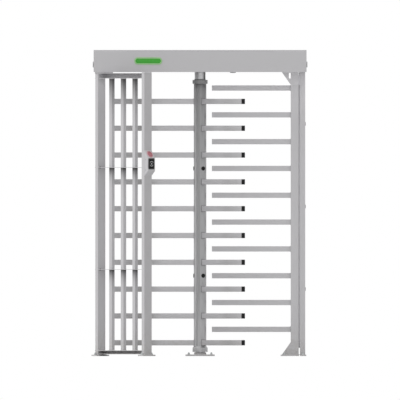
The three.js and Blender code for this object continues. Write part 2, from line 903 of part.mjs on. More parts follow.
function solenoid() {
  const half = solenoidLength / 2;
  const top = solenoidHeight / 2;
  const footZ = housingBottom - discMiddle;
  return weld(
    [
      box(-half, half, -solenoidWidth / 2, solenoidWidth / 2, -top, top),
      box(-half, half, -solenoidBaseWidth / 2, solenoidBaseWidth / 2, footZ, 0),
    ],
    [rodAlongX(plungerRadius + turnGap, -half - overrun, half + overrun)],
  );
}

const sets = { left: 0, right: Math.PI };
for (const [side, turn] of Object.entries(sets)) {
  const set = new THREE.Group();
  set.rotation.z = turn;
  turnstile.add(set);
  piece("pawl_" + side, pawl(), zincSteel, set);
  piece("plunger_" + side, plunger(), machinedSteel, set).position.set(pawlLineX, plungerOffset, discMiddle);
  const solenoidX = pawlLineX - pawlWidth / 2 - solenoidStandoff - solenoidLength / 2 + plungerRadius;
  piece("solenoid_" + side, solenoid(), darkCase, set).position.set(solenoidX, plungerOffset, discMiddle);
}

// Header tray, lid, lid locks and hinge

const hingeY = headerHalfDepth + knuckleRadius + fitGap;
const hingeZ = lidBottom;

// One stretch of the lid's hinge barrel, with the leaf that carries it.
function knuckle(x0, x1, leafFrom, leafTo) {
  return [
    rodAlongX(knuckleRadius, x0, x1).translate(0, hingeY, hingeZ),
    box(x0, x1, headerHalfDepth - lidWall / 2, hingeY, leafFrom, leafTo),
  ];
}

function hingeBore() {
  return rodAlongX(rodRadius + turnGap, headerLeft, headerRight).translate(0, hingeY, hingeZ);
}

function headerTray() {
  const top = lidBottom - fitGap;
  const half = headerHalfDepth;
  const shell = box(headerLeft, headerRight, -half, half, headerBottom, top);
  const cuts = [
    box(
      headerLeft + trayWall,
      headerRight - trayWall,
      trayWall - half,
      half - trayWall,
      headerFloor,
      top + overrun,
    ),
    rod(neckRadius + neckRoom, headerBottom - overrun, headerBottom + overrun, roundSides),
    upright(
      slotShape(windowLength, windowHeight, windowCentre, headerBottom + windowLift),
      -half - overrun,
      half + overrun,
    ),
    rodAlongX(lockShankRadius + turnGap, headerLeft - overrun, headerRight + overrun, roundSides / 2)
      .translate(0, 0, lockAxisZ),
  ];
  const additions = [];
  for (const side of [-1, 1]) {
    const x = -side * pawlPivotX;
    const y = side * pawlArm;
    additions.push(
      rod(pawlShoulderRadius, headerFloor - trayWall / 2, discBottom - fitGap).translate(x, y, 0),
      rod(pawlStudRadius, headerFloor, discBottom + discThickness + pawlStudRadius).translate(x, y, 0),
    );
    const hingeX = (side * hingeSpread) / 2;
    for (const end of [-1, 1]) {
      const from = hingeX + end * (knuckleLength + fitGap) - knuckleLength / 2;
      additions.push(...knuckle(from, from + knuckleLength, hingeZ - hingeLeafHeight, hingeZ - fitGap));
    }
  }
  return weld([weld([shell], cuts), ...additions], [hingeBore()]);
}
piece("header_tray", headerTray(), paintedSteel);

function headerLid() {
  const half = headerHalfDepth;
  const lipTop = lockAxisZ - camWidth / 2 - camLipGap;
  const inside = box(
    headerLeft + lidWall,
    headerRight - lidWall,
    lidWall - half,
    half - lidWall,
    lidBottom - overrun,
    overallHeight - lidWall,
  );
  const parts = [weld([box(headerLeft, headerRight, -half, half, lidBottom, overallHeight)], [inside])];
  for (const [side, end] of [[-1, headerLeft], [1, headerRight]]) {
    const webOuter = end - side * (trayWall + catchInset);
    const webInner = webOuter - side * catchThickness;
    const lipEnd = webOuter + side * catchLip;
    const y0 = -catchOffset - catchWidth / 2;
    const y1 = -catchOffset + catchWidth / 2;
    const [webFrom, webTo] = [webInner, webOuter].sort((a, b) => a - b);
    const [lipFrom, lipTo] = [webInner, lipEnd].sort((a, b) => a - b);
    parts.push(box(webFrom, webTo, y0, y1, lipTop - catchThickness, overallHeight - lidWall / 2));
    parts.push(box(lipFrom, lipTo, y0, y1, lipTop - catchThickness, lipTop));
    const from = (side * hingeSpread - knuckleLength) / 2;
    parts.push(...knuckle(from, from + knuckleLength, hingeZ + fitGap, hingeZ + knuckleRadius));
  }
  return weld(parts, [hingeBore()]);
}
piece("header_lid", headerLid(), paintedSteel);

const rodReach = hingeSpread / 2 + 1.5 * knuckleLength;
const hingeRod = rodAlongX(rodRadius, -rodReach, rodReach).translate(0, hingeY, hingeZ);
piece("lid_hinge_rod", hingeRod, zincSteel);

// Quarter turn lock, built for the right end: a domed head outside, a shank through the wall, a cam inside.
function quarterTurnLock() {
  const head = turned([
    [0, 0],
    [lockHeadRadius, 0],
    [lockHeadRadius, lockHeadHeight / 3],
    [lockHeadRadius * Math.cos(Math.PI / 6), (lockHeadHeight * 2) / 3],
    [lockHeadRadius / 2, lockHeadHeight],
    [0, lockHeadHeight],
  ]).rotateY(Math.PI / 2);
  const camOuter = -trayWall - fitGap - camStandoff;
  const camInner = camOuter - camThickness;
  return weld([
    head,
    rodAlongX(lockShankRadius, camInner, lockHeadHeight / 3, roundSides / 2),
    box(camInner, camOuter, -camWidth / 2, camWidth / 2, -camWidth / 2, camLength),
  ]);
}
const rightLock = piece("lock_right", quarterTurnLock(), zincSteel);
rightLock.position.set(headerRight + fitGap, 0, lockAxisZ);
const leftLock = piece("lock_left", quarterTurnLock().rotateZ(Math.PI), zincSteel);
leftLock.position.set(headerLeft - fitGap, 0, lockAxisZ);

// Indicator lenses: the front stands out of the window, the flange lies behind the wall
function indicatorLens() {
  const wallTo = trayWall + fitGap;
  const front = slotShape(windowLength - 2 * fitGap, windowHeight - 2 * fitGap);
  const flange = slotShape(windowLength + 2 * lensFlange, windowHeight + 2 * lensFlange);
  return weld([
    upright(front, -lensProud, wallTo + lensFlangeThickness / 2),
    upright(flange, wallTo, wallTo + lensFlangeThickness),
  ]);
}
const lensZ = headerBottom + windowLift;
piece("indicator_front", indicatorLens(), greenLens).position.set(windowCentre, -headerHalfDepth, lensZ);
const rearLens = piece("indicator_rear", indicatorLens(), greenLens);
rearLens.rotation.z = Math.PI;
rearLens.position.set(windowCentre, headerHalfDepth, lensZ);

// Electronics on the tray floor
function caseOnTray(name, length, depth, height, centre, material) {
  const casing = column(length, depth, housingBottom, housingBottom + height);
  piece(name, casing, material).position.x = centre;
}
const controlCentre = headerRight - controlInset;
const supplyCentre = headerLeft + supplyInset;
caseOnTray("control_box", controlLength, controlDepth, controlHeight, controlCentre, blackPlastic);
caseOnTray("power_supply", supplyLength, supplyDepth, supplyHeight, supplyCentre, zincSteel);

export default turnstile;
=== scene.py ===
# Full height turnstile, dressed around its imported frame.
# Metres. The floor is z = 0, the rotor turns about z and the entrance side is -y.
import json
from itertools import product
from math import acos, atan2, cos, pi, radians, sin

import bmesh
import bpy
from mathutils import Matrix, Vector

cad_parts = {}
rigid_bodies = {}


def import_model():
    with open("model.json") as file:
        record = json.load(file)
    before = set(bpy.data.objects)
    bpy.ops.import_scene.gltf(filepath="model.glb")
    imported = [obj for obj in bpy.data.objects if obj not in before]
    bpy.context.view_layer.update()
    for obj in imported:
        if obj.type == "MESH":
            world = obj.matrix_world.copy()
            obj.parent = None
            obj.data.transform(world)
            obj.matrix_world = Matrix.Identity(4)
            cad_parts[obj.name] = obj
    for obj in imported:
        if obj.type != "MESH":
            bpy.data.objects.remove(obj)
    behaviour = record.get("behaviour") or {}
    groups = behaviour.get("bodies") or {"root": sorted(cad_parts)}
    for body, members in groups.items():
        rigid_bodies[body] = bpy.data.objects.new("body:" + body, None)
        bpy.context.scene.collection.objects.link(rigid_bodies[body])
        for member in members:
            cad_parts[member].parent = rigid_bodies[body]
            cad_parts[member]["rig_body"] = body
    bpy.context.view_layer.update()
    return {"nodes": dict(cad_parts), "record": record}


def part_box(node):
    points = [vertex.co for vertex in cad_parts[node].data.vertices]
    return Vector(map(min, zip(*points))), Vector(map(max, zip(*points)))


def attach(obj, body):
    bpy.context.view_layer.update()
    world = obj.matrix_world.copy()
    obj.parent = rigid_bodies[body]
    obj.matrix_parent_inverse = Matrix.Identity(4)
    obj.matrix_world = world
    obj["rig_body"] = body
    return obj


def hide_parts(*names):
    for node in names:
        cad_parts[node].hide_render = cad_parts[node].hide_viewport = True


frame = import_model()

print("frame loaded:", len(frame["nodes"]), "nodes")

# The photograph is a straight front view with no perspective
photo = {
    "pixels": 400,
    "metresPerPixel": 0.007515,
    "rotorColumn": 200.1,  # pixel column of the rotor's axis
    "floorRow": 356.05,  # pixel row of the floor, a little below the crop
    "cameraDistance": 7.0,
}


def linkObject(name, data):
    made = bpy.data.objects.new(name, data)
    bpy.context.collection.objects.link(made)
    return made


middlePixel = photo["pixels"] / 2
cameraData = bpy.data.cameras.new("camera")
cameraData.type = "ORTHO"
cameraData.ortho_scale = photo["pixels"] * photo["metresPerPixel"]
camera = linkObject("camera", cameraData)
camera.location = (
    (middlePixel - photo["rotorColumn"]) * photo["metresPerPixel"],
    -photo["cameraDistance"],
    (photo["floorRow"] - middlePixel) * photo["metresPerPixel"],
)
camera.rotation_euler = (pi / 2, 0, 0)
bpy.context.scene.camera = camera
bpy.context.scene.view_settings.view_transform = "Standard"
print("camera set")


# Shader nodes written as sums

class Wire:
    # One output of a node; arithmetic on it adds Math nodes
    def __init__(self, kit, socket):
        self.kit = kit
        self.socket = socket

    def calc(self, operation, first, second=0.0):
        return self.kit.node("ShaderNodeMath", {"operation": operation}, {0: first, 1: second})

    def __add__(self, other):
        return self.calc("ADD", self, other)

    def __radd__(self, other):
        return self.calc("ADD", other, self)

    def __sub__(self, other):
        return self.calc("SUBTRACT", self, other)

    def __rsub__(self, other):
        return self.calc("SUBTRACT", other, self)

    def __mul__(self, other):
        return self.calc("MULTIPLY", self, other)

    def __truediv__(self, other):
        return self.calc("DIVIDE", self, other)

    def __pow__(self, other):
        return self.calc("POWER", self, other)


class NodeKit:
    def __init__(self, tree):
        self.tree = tree
        tree.nodes.clear()

    def node(self, kind, settings=None, inputs=None, output=0):
        made = self.tree.nodes.new(kind)
        for name, value in (settings or {}).items():
            setattr(made, name, value)
        for name, value in (inputs or {}).items():
            if isinstance(value, Wire):
                self.tree.links.new(value.socket, made.inputs[name])
            else:
                made.inputs[name].default_value = value
        return Wire(self, made.outputs[output])

    def split(self, vector):
        return [
            self.node("ShaderNodeSeparateXYZ", {}, {"Vector": vector}, axis) for axis in ("X", "Y", "Z")
        ]

    def place(self, scale=(1, 1, 1)):
        spot = self.node("ShaderNodeTexCoord", output="Object")
        return self.node("ShaderNodeMapping", {}, {"Vector": spot, "Scale": scale})

    def facing(self):
        return self.split(self.node("ShaderNodeTexCoord", output="Normal"))

    def noise(self, place, scale, detail=2.0, roughness=0.5):
        values = {"Vector": place, "Scale": scale, "Detail": detail, "Roughness": roughness}
        return self.node("ShaderNodeTexNoise", {}, values, "Fac")

    def fade(self, value, low, high, toLow=0.0, toHigh=1.0):
        values = {"Value": value, "From Min": low, "From Max": high, "To Min": toLow, "To Max": toHigh}
        return self.node("ShaderNodeMapRange", {"interpolation_type": "SMOOTHSTEP"}, values)

    def clamp(self, value):
        return self.node("ShaderNodeClamp", {}, {"Value": value})

    def mix(self, share, first, second):
        return self.node("ShaderNodeMix", {"data_type": "RGBA"}, {0: share, 6: first, 7: second}, 2)

    def bump(self, height, strength, distance=0.0002):
        values = {"Height": height, "Strength": strength, "Distance": distance}
        return self.node("ShaderNodeBump", {}, values, "Normal")

    def surface(self, values):
        self.output(self.node("ShaderNodeBsdfPrincipled", {}, values))

    def output(self, shader, kind="Material"):
        end = self.tree.nodes.new("ShaderNodeOutput" + kind)
        self.tree.links.new(shader.socket, end.inputs["Surface"])


def screenColour(red, green, blue):
    # a colour read off a screen, 0 to 255, as linear light
    def linear(value):
        share = value / 255
        return share / 12.92 if share <= 0.04045 else ((share + 0.055) / 1.055) ** 2.4

    return (linear(red), linear(green), linear(blue), 1.0)


def shaded(colour, share):
    return (colour[0] * share, colour[1] * share, colour[2] * share, 1.0)


def startMaterial(name):
    material = bpy.data.materials.new(name)
    material.use_nodes = True
    return material, NodeKit(material.node_tree)


# Light: a pale sky that is brighter from above and from the left, and one soft lamp
studio = {
    "skyTop": 0.9,
    "skyLevel": 0.83,  # at the height of the horizon
    "leftShare": 0.34,  # extra from the left, less from the right
    "frontShare": 0.2,  # extra from the front, less from the back
    "lampStrength": 0.55,
    "lampDirection": (-0.6, -0.1, 1.1),  # from the object towards the lamp
    "lampAngle": 20,
    "floorSeen": 0.86,
    "floorBounce": 0.72,
    "floorSize": 30.0,
}


def seenRay(kit):
    # 1 for what the camera sees, directly, mirrored or through glass
    seen, mirrored, through = [
        kit.node("ShaderNodeLightPath", output=name)
        for name in ("Is Camera Ray", "Is Glossy Ray", "Is Transmission Ray")
    ]
    total = seen.calc("MAXIMUM", seen, mirrored)
    return total.calc("MAXIMUM", total, through)


def makeSky():
    world = bpy.data.worlds.new("paleSky")
    bpy.context.scene.world = world
    world.use_nodes = True
    kit = NodeKit(world.node_tree)
    acrossX, acrossY, upZ = kit.split(kit.node("ShaderNodeTexCoord", output="Generated"))
    level = kit.fade(upZ, 0.0, 1.0, studio["skyLevel"], studio["skyTop"])
    level = level * (1 - acrossX * studio["leftShare"] - acrossY * studio["frontShare"])
    seen = seenRay(kit)
    values = {"Color": (1, 1, 1, 1), "Strength": seen + (1 - seen) * level}
    kit.output(kit.node("ShaderNodeBackground", {}, values), "World")


def makeLamp():
    data = bpy.data.lights.new("softLamp", "SUN")
    data.energy = studio["lampStrength"]
    data.angle = radians(studio["lampAngle"])
    lamp = linkObject("softLamp", data)
    lamp.rotation_mode = "QUATERNION"
    lamp.rotation_quaternion = Vector(studio["lampDirection"]).to_track_quat("Z", "Y")


def makeFloor():
    bm = bmesh.new()
    bmesh.ops.create_grid(bm, x_segments=1, y_segments=1, size=studio["floorSize"] / 2)
    mesh = bpy.data.meshes.new("floor")
    bm.to_mesh(mesh)
    bm.free()
    material, kit = startMaterial("paleFloor")
    bounce, seen = [(studio[level],) * 3 + (1,) for level in ("floorBounce", "floorSeen")]
    kit.output(kit.node("ShaderNodeBsdfDiffuse", {}, {"Color": kit.mix(seenRay(kit), bounce, seen)}))
    mesh.materials.append(material)
    linkObject("floor", mesh)


makeSky()
makeLamp()
makeFloor()
print("studio lit")


# Finishes

coat = {
    "colour": screenColour(197, 196, 198),
    # the tint of dust, which is also the tint of the painted shade and shadows mixed into the coat
    "dust": screenColour(176, 172, 165),
    "dustHeight": 0.28,
    "roughness": 0.46,
    "grainScale": 620,
    "grainDepth": 0.14,
    "cloudScale": 2.3,
    "cloudShade": 0.94,
    "speckScale": 46,
    "dustDepth": 0.5,
    "scuffScale": (7, 7, 130),
    "scuffDepth": 0.35,
    "scuffShade": 0.86,
    # shade of the painted shadow under the cage's rail and hoops
    "paintedShadowShade": 0.05,
    "specular": 0.4,
}
# Painted shadow on the cage bars under the rail and the hoops above
paintedShadowUnderJoints = {
    # height of a joint's underside, depth and reach of the painted shadow, and how fast it fades
    "joints": [(2.086, 0.92, 0.42, 2.6), (1.4149, 1.0, 0.25, 4.3), (0.6488, 1.0, 0.25, 4.3)],
    "shadowBreakUpScale": (60, 60, 4),
    # the rail's upper edge lies in the header's shade and gets painted shade: heights and depth of it
    "underHeader": (2.117, 2.123, 0.5),
}
# Painted shade along the arms: it starts past the middle and thins out towards the tip
paintedArmShade = {"start": 0.27, "full": 0.445, "gone": 0.70, "breakUp": 17, "shade": 0.3}
# Painted shade on the guide posts' sides towards the walkway: from and to how far they face it
paintedSideShade = {"start": 0.3, "full": 0.6, "breakUp": 11, "shade": 0.3}
# Painted light close under the header, against the shade the header casts, on the left posts only on one side
paintedLightUnderHeader = {
    "comb": {"start": 1.70, "full": 2.02, "shade": 1.2, "innerSide": False},
    "rail": {"start": 2.084, "full": 2.090, "shade": 1.14, "innerSide": False},
    "leftPost": {"start": 1.82, "full": 2.10, "shade": 1.4, "innerSide": True},
}


def paintedShadowShare(kit, height):
    # painted shadow, strongest right under a joint, gone after the reach, broken up by noise
    total = 0.0
    for jointHeight, depth, reach, power in paintedShadowUnderJoints["joints"]:
        below = (jointHeight - height) / reach
        near = (1 - kit.clamp(below)) ** power
        total = near * below.calc("GREATER_THAN", below, -0.002) * depth + total
    shadowBreakUp = kit.noise(kit.place(paintedShadowUnderJoints["shadowBreakUpScale"]), 1.0, 3)
    upwards = kit.facing()[2]
    low, high, depth = paintedShadowUnderJoints["underHeader"]
    railShade = kit.fade(height, low, high) * (1 - upwards.calc("ABSOLUTE", upwards)) * depth
    return total * kit.fade(shadowBreakUp, 0.25, 0.75, 0.8, 1.1) + railShade


def armShadeShare(kit, place):
    # strongest a little past the middle of an arm, measured from the rotor's axis
    reach = kit.node("ShaderNodeVectorMath", {"operation": "LENGTH"}, {0: kit.place((1, 1, 0))}, "Value")
    thin = kit.clamp((paintedArmShade["gone"] - reach) / (paintedArmShade["gone"] - paintedArmShade["full"]))
    patches = kit.fade(kit.noise(place, paintedArmShade["breakUp"], 4), 0.3, 0.7, 0.8, 1.1)
    return kit.fade(reach, paintedArmShade["start"], paintedArmShade["full"]) * thin * patches


def walkwaySide(kit):
    return kit.fade(kit.facing()[0], paintedSideShade["start"], paintedSideShade["full"])


def sideShadeShare(kit, place):
    return walkwaySide(kit) * kit.fade(kit.noise(place, paintedSideShade["breakUp"], 4), 0.3, 0.7, 0.85, 1.1)


def makeCoat(name, share=1.0, ripple=0.0, shadowedUnderJoints=False, armShadeDepth=0.0, sideShadeDepth=0.0, litUnderHeader=None):
    # powder coat: a fine orange peel, faint clouds and scuffs, and a little dust near the floor
    material, kit = startMaterial(name)
    place, colour, dust = kit.place(), shaded(coat["colour"], share), coat["dust"]
    height = kit.split(place)[2]
    cloud = kit.noise(place, coat["cloudScale"], 4)
    speck = kit.noise(place, coat["speckScale"], 5, 0.7)
    scuff = kit.fade(kit.noise(kit.place(coat["scuffScale"]), 1.0, 5, 0.6), 0.66, 0.78) * coat["scuffDepth"]
    nearFloor = 1 - kit.fade(height, 0.0, coat["dustHeight"])
    dustShare = nearFloor * kit.fade(speck, 0.35, 0.7) * coat["dustDepth"]
    base = colour
    # painted light close under the header
    if litUnderHeader:
        lighten = paintedLightUnderHeader[litUnderHeader]
        lightShare = kit.fade(height, lighten["start"], lighten["full"])
        if lighten["innerSide"]:
            lightShare = lightShare * walkwaySide(kit)
        base = kit.mix(lightShare, colour, shaded(colour, lighten["shade"]))
    base = kit.mix(cloud * 0.5, base, shaded(colour, coat["cloudShade"]))
    base = kit.mix(scuff, base, shaded(colour, coat["scuffShade"]))
    base = kit.mix(dustShare, base, dust)
    # painted shadow under the rail and hoops, and painted shade on the rail's upper edge
    if shadowedUnderJoints:
        base = kit.mix(paintedShadowShare(kit, height), base, shaded(dust, coat["paintedShadowShade"]))
    # painted shade along the arms
    if armShadeDepth:
        base = kit.mix(armShadeShare(kit, place) * armShadeDepth, base, shaded(dust, paintedArmShade["shade"]))
    # painted shade on the sides that face the walkway
    if sideShadeDepth:
        base = kit.mix(sideShadeShare(kit, place) * sideShadeDepth, base, shaded(dust, paintedSideShade["shade"]))
    peel = kit.noise(place, coat["grainScale"], 2)
    if ripple:
        peel = peel * 0.2 + kit.noise(place, ripple, 2)
    kit.surface({
        "Base Color": base,
        "Roughness": coat["roughness"] + (cloud - 0.5) * 0.12 + dustShare * 0.5 - scuff * 0.3,
        "Normal": kit.bump(peel, 0.5, 0.001) if ripple else kit.bump(peel, coat["grainDepth"]),
        "Specular IOR Level": coat["specular"],
    })
    return material


def bandShare(kit, place, folds, compass, sharpness):
    # 0 to 1 round the z axis, highest at one compass angle and its repeats
    acrossX, acrossY, _ = kit.split(place)
    angle = acrossY.calc("ARCTAN2", acrossY, acrossX)
    return (angle.calc("COSINE", (angle - radians(compass)) * folds) * 0.5 + 0.5) ** sharpness


def makeBrushed(name, colour, scale, roughness, grey=0.1, metal=0.92, reflectionBands=(), heights=()):
    # brushed or turned steel: fine lines across the small numbers of scale
    material, kit = startMaterial(name)
    place = kit.place()
    lines = kit.noise(kit.place(scale), 1.0, 6, 0.62)
    broad = kit.noise(kit.place([value * 0.16 for value in scale]), 1.0, 2)
    base = kit.mix(
        kit.fade(lines * 0.55 + broad * 0.45, 0.3, 0.7), shaded(colour, 1 - grey), shaded(colour, 1 + grey),
    )
    # painted reflections and shade as stripes round the z axis
    for folds, compass, depth, sharpness, shade in reflectionBands:
        base = kit.mix(bandShare(kit, place, folds, compass, sharpness) * depth, base, shaded(colour, shade))
    # painted shade or light by height
    for low, high, depth, shade in heights:
        base = kit.mix(kit.fade(kit.split(place)[2], low, high) * depth, base, shaded(colour, shade))
    kit.surface({
        "Base Color": base,
        "Metallic": metal,
        "Roughness": roughness + (lines - 0.5) * 0.18,
        "Normal": kit.bump(lines, 0.1),
    })
    return material


def makeZinc(name, colour, roughness=0.34):
    material, kit = startMaterial(name)
    place = kit.place()
    flakes = kit.node("ShaderNodeTexVoronoi", {}, {"Vector": place, "Scale": 190.0}, "Color")
    flake = kit.split(flakes)[0]
    kit.surface({
        "Base Color": kit.mix(flake, shaded(colour, 0.84), shaded(colour, 1.1)),
        "Metallic": 0.85,
        "Roughness": roughness + flake * 0.16,
        "Normal": kit.bump(kit.noise(place, 900, 2), 0.08),
    })
    return material


def makePlastic(name, colour, roughness, grainScale, grain, coatWeight=0.0, specular=0.5):
    material, kit = startMaterial(name)
    place, colour = kit.place(), screenColour(*colour)
    cloud = kit.noise(place, 30, 3)
    kit.surface({
        "Base Color": kit.mix(cloud, shaded(colour, 0.86), shaded(colour, 1.14)),
        "Roughness": roughness + (cloud - 0.5) * 0.1,
        "Normal": kit.bump(kit.noise(place, grainScale, 3), grain),
        "Coat Weight": coatWeight,
        "Specular IOR Level": specular,
    })
    return material


def makeLens(name, colour, glow, cells, middle=None, half=0.02):
    # a coloured lens over a row of small lamps, darker towards its upper and lower edges
    material, kit = startMaterial(name)
    place, colour = kit.place(), screenColour(*colour)
    acrossX, _, height = kit.split(place)
    wave = acrossX.calc("SINE", acrossX * cells)
    shade = kit.fade(wave, -1.0, 1.0, 0.0, 0.2) + kit.noise(place, 25, 2) * 0.15
    if middle:
        offset = (height - middle) / half
        shade = shade + kit.fade(offset * offset, 0.1, 0.9, 0.0, 0.6)
    tint = kit.mix(shade, colour, shaded(colour, 0.62))
    kit.surface({
        "Base Color": tint,
        "Roughness": 0.22 + kit.noise(place, 60, 2) * 0.08,
        "Emission Color": tint,
        "Emission Strength": glow,
        "Coat Weight": 0.3,
        "Normal": kit.bump(wave, 0.12, 0.0004),
    })
    return material


# painted reflections and shade as stripes round the column and the neck: repeats round the axis, compass
# angle in degrees, depth, sharpness, and the shade mixed in
columnPaintedReflections = [(3, -101, 0.5, 26, 0.35), (1, -133, 0.62, 26, 1.65)]
neckPaintedReflections = [(1, -33, 1.0, 24, 0.1), (1, -118, 0.6, 24, 0.4)]
# from and to which height, depth, and the shade mixed in: painted shade towards the top and under the top
# collar, painted light low down
columnPaintedShadeAndLight = [(0.5, 2.3, 0.3, 0.3), (2.0, 2.048, 0.6, 0.3), (0.55, 0.04, 0.8, 1.45)]
finishes = {
    "frame_paint": makeCoat("lightGreyCoat"),
    "satin_steel": makeBrushed(
        "satinColumn", (0.41, 0.41, 0.415), (130, 130, 2.2), 0.44,
        metal=0.55, reflectionBands=columnPaintedReflections, heights=columnPaintedShadeAndLight,
    ),
    "machined_steel": makeBrushed(
        "turnedSteel", (0.68, 0.68, 0.69), (14, 14, 900), 0.3, 0.08, metal=0.7, reflectionBands=neckPaintedReflections,
    ),
    "zinc_steel": makeZinc("zincPlate", (0.5, 0.52, 0.52)),
    "black_plastic": makePlastic("blackMoulding", (24, 24, 25), 0.55, 420, 0.2, specular=0.2),
    "green_lens": makeLens("greenLens", (34, 152, 6), 0.12, 520, 2.219, 0.021),
    "red_lens": makeLens("redLens", (168, 98, 106), 0.08, 900),
    "coil": makePlastic("coilBody", (64, 64, 68), 0.55, 300, 0.2),
}
weldFinish = makeCoat("weldBead", 0.9, 210)
# a much darker copy of the weld coat: painted shade round the arm roots of wings B and C; the hoop screws use
# it too
rootWeldFinish = makeCoat("rootWeldBead", 0.45, 210)
# parts of the frame that are coated one by one, found by how their names start; the header's and guide posts'
# coats are darker copies and the comb's and gusset's lighter ones, painted shade and painted light
ownFinishes = {
    "cage_panel": makeCoat("cageCoat", shadowedUnderJoints=True, litUnderHeader="rail"),
    "left_post": makeCoat("leftPostCoat", litUnderHeader="leftPost"),
    "header": makeCoat("headerCoat", 0.92),
    "guide_post": makeCoat("guidePostCoat", 0.97, sideShadeDepth=0.16),
    "comb_frame": makeCoat("combCoat", 1.03, litUnderHeader="comb"),
    "side_post": makeCoat("sidePostCoat", litUnderHeader="comb"),
    "gusset_top": makeCoat("gussetCoat", 1.12, litUnderHeader="comb"),
}
# the three wings' coats are painted lighter or darker for the light each gets at rest, with painted shade
# along the arms: shade of the coat, depth of the painted shade
wingFinishes = {
    "A": makeCoat("wingCoatA", 1.06, armShadeDepth=0.49, litUnderHeader="comb"),
    "B": makeCoat("wingCoatB", 0.92, armShadeDepth=0.19),
    "C": makeCoat("wingCoatC", armShadeDepth=0.22),
}
collarFinish = makeBrushed("satinCollar", (0.26, 0.26, 0.263), (9, 9, 420), 0.4, metal=0.6)
# a lighter copy of the column's steel for the bottom collar: painted light low down, like the column's foot
footFinish = makeBrushed("satinFootCollar", (0.5, 0.5, 0.505), (9, 9, 420), 0.44, metal=0.55)
lockFinish = makeZinc("lockPlate", (0.3, 0.3, 0.305), 0.4)
# the bezels' pale green is painted light: the glow of the lit lens round its edge
rimFinish = makePlastic("paleBezel", (146, 192, 132), 0.5, 300, 0.1)
# pale sealant; over the gusset's edge it is a painted highlight
sealAndHighlightFinish = makePlastic("paleSealant", (216, 215, 219), 0.7, 240, 0.3)
plugFinish = makePlastic("greyPlug", (128, 128, 130), 0.5, 300, 0.2)
caseFinish = makePlastic("caseMoulding", (58, 60, 63), 0.42, 260, 0.35)
print("finishes mixed:", len(bpy.data.materials))


# Mesh helpers

def at(x, y, z):
    return Matrix.Translation((x, y, z))


def turned(degrees, axis="Z"):
    return Matrix.Rotation(radians(degrees), 4, axis)


def keepNew(bm, before):
    return [vert for vert in bm.verts if vert not in before]


def moveNew(bm, before, matrix):
    if matrix:
        bmesh.ops.transform(bm, matrix=matrix, space=Matrix.Identity(4), verts=keepNew(bm, before))


def edgesOf(verts):
    return list({edge for vert in verts for edge in vert.link_edges})


def edgesAmong(verts):
    return [edge for edge in edgesOf(verts) if all(vert in verts for vert in edge.verts)]


def facesOf(verts):
    return list({face for vert in verts for face in vert.link_faces})


def bevelEdges(bm, edges, offset, segments):
    bmesh.ops.bevel(
        bm, geom=edges, offset=offset, segments=segments, profile=0.5,
        affect="EDGES", material=-1, clamp_overlap=True,
    )


def blockBetween(bm, low, high):
    verts = bmesh.ops.create_cube(bm, size=1.0)["verts"]
    bmesh.ops.scale(bm, vec=[b - a for a, b in zip(low, high)], verts=verts)
    bmesh.ops.translate(bm, vec=[(a + b) / 2 for a, b in zip(low, high)], verts=verts)
    return verts


def roundedBox(bm, low, high, rounding=0.0006, segments=2, matrix=None):
    before = set(bm.verts)
    bevelEdges(bm, edgesOf(blockBetween(bm, low, high)), rounding, segments)
    moveNew(bm, before, matrix)


def roundTube(bm, low, high, axis, rounding, ends=0.0006, segments=3, matrix=None):
    # a bar with well rounded long edges along one axis and crisp ends
    before = set(bm.verts)
    half = (high[axis] - low[axis]) / 2

    def runsAlong(edge):
        return abs(edge.verts[0].co[axis] - edge.verts[1].co[axis]) > half

    block = blockBetween(bm, low, high)
    bevelEdges(bm, [edge for edge in edgesOf(block) if runsAlong(edge)], rounding, segments)
    bevelEdges(bm, [edge for edge in edgesOf(keepNew(bm, before)) if not runsAlong(edge)], ends, 1)
    moveNew(bm, before, matrix)


def closedLoop(bm, corners):
    # corners are (radius, height) points in the plane y = 0
    verts = [bm.verts.new((radius, 0, height)) for radius, height in corners]
    return verts, [bm.edges.new(pair) for pair in zip(verts, verts[1:] + verts[:1])]


def turnRound(bm, geom, angle, steps):
    bmesh.ops.spin(
        bm, geom=geom, cent=(0, 0, 0), axis=(0, 0, 1), dvec=(0, 0, 0),
        angle=angle, steps=steps, use_merge=angle == 2 * pi,
    )


def spunShape(bm, outline, steps=72, matrix=None):
    # an outline of (radius, height) points turned about z; one that starts off the axis is a closed ring
    before = set(bm.verts)
    verts, edges = closedLoop(bm, outline)
    if outline[0][0] == 0:
        bm.edges.remove(edges.pop())
    turnRound(bm, verts + edges, 2 * pi, steps)
    bmesh.ops.remove_doubles(bm, verts=keepNew(bm, before), dist=0.000005)
    moveNew(bm, before, matrix)


def arcBar(bm, corners, sweep, steps, middle=0.0):
    # a cross-section carried round z through part of a turn, closed at both ends
    verts, edges = closedLoop(bm, corners)
    bmesh.ops.rotate(bm, verts=verts, matrix=Matrix.Rotation(middle - sweep / 2, 3, "Z"))
    turnRound(bm, verts + edges, sweep, steps)
    bmesh.ops.holes_fill(bm, edges=[edge for edge in bm.edges if edge.is_boundary], sides=0)


def raiseFaces(bm, faces, height):
    # pulls flat faces up into a slab and gives its upper corners
    raised = bmesh.ops.extrude_face_region(bm, geom=faces)
    top = [item for item in raised["geom"] if isinstance(item, bmesh.types.BMVert)]
    bmesh.ops.translate(bm, vec=(0, 0, height), verts=top)
    return top


def slabFrom(bm, before, ring, height, rounding, segments, matrix):
    top = raiseFaces(bm, facesOf(ring), height)
    bevelEdges(bm, edgesAmong(top), rounding, segments)
    bmesh.ops.recalc_face_normals(bm, faces=facesOf(keepNew(bm, before)))
    moveNew(bm, before, matrix)


def hexShape(bm, radius, low, high, rounding=0.0006, matrix=None):
    before = set(bm.verts)
    ring = bmesh.ops.create_circle(bm, cap_ends=True, segments=6, radius=radius)["verts"]
    bmesh.ops.translate(bm, vec=(0, 0, low), verts=ring)
    slabFrom(bm, before, ring, high - low, rounding, 2, matrix)


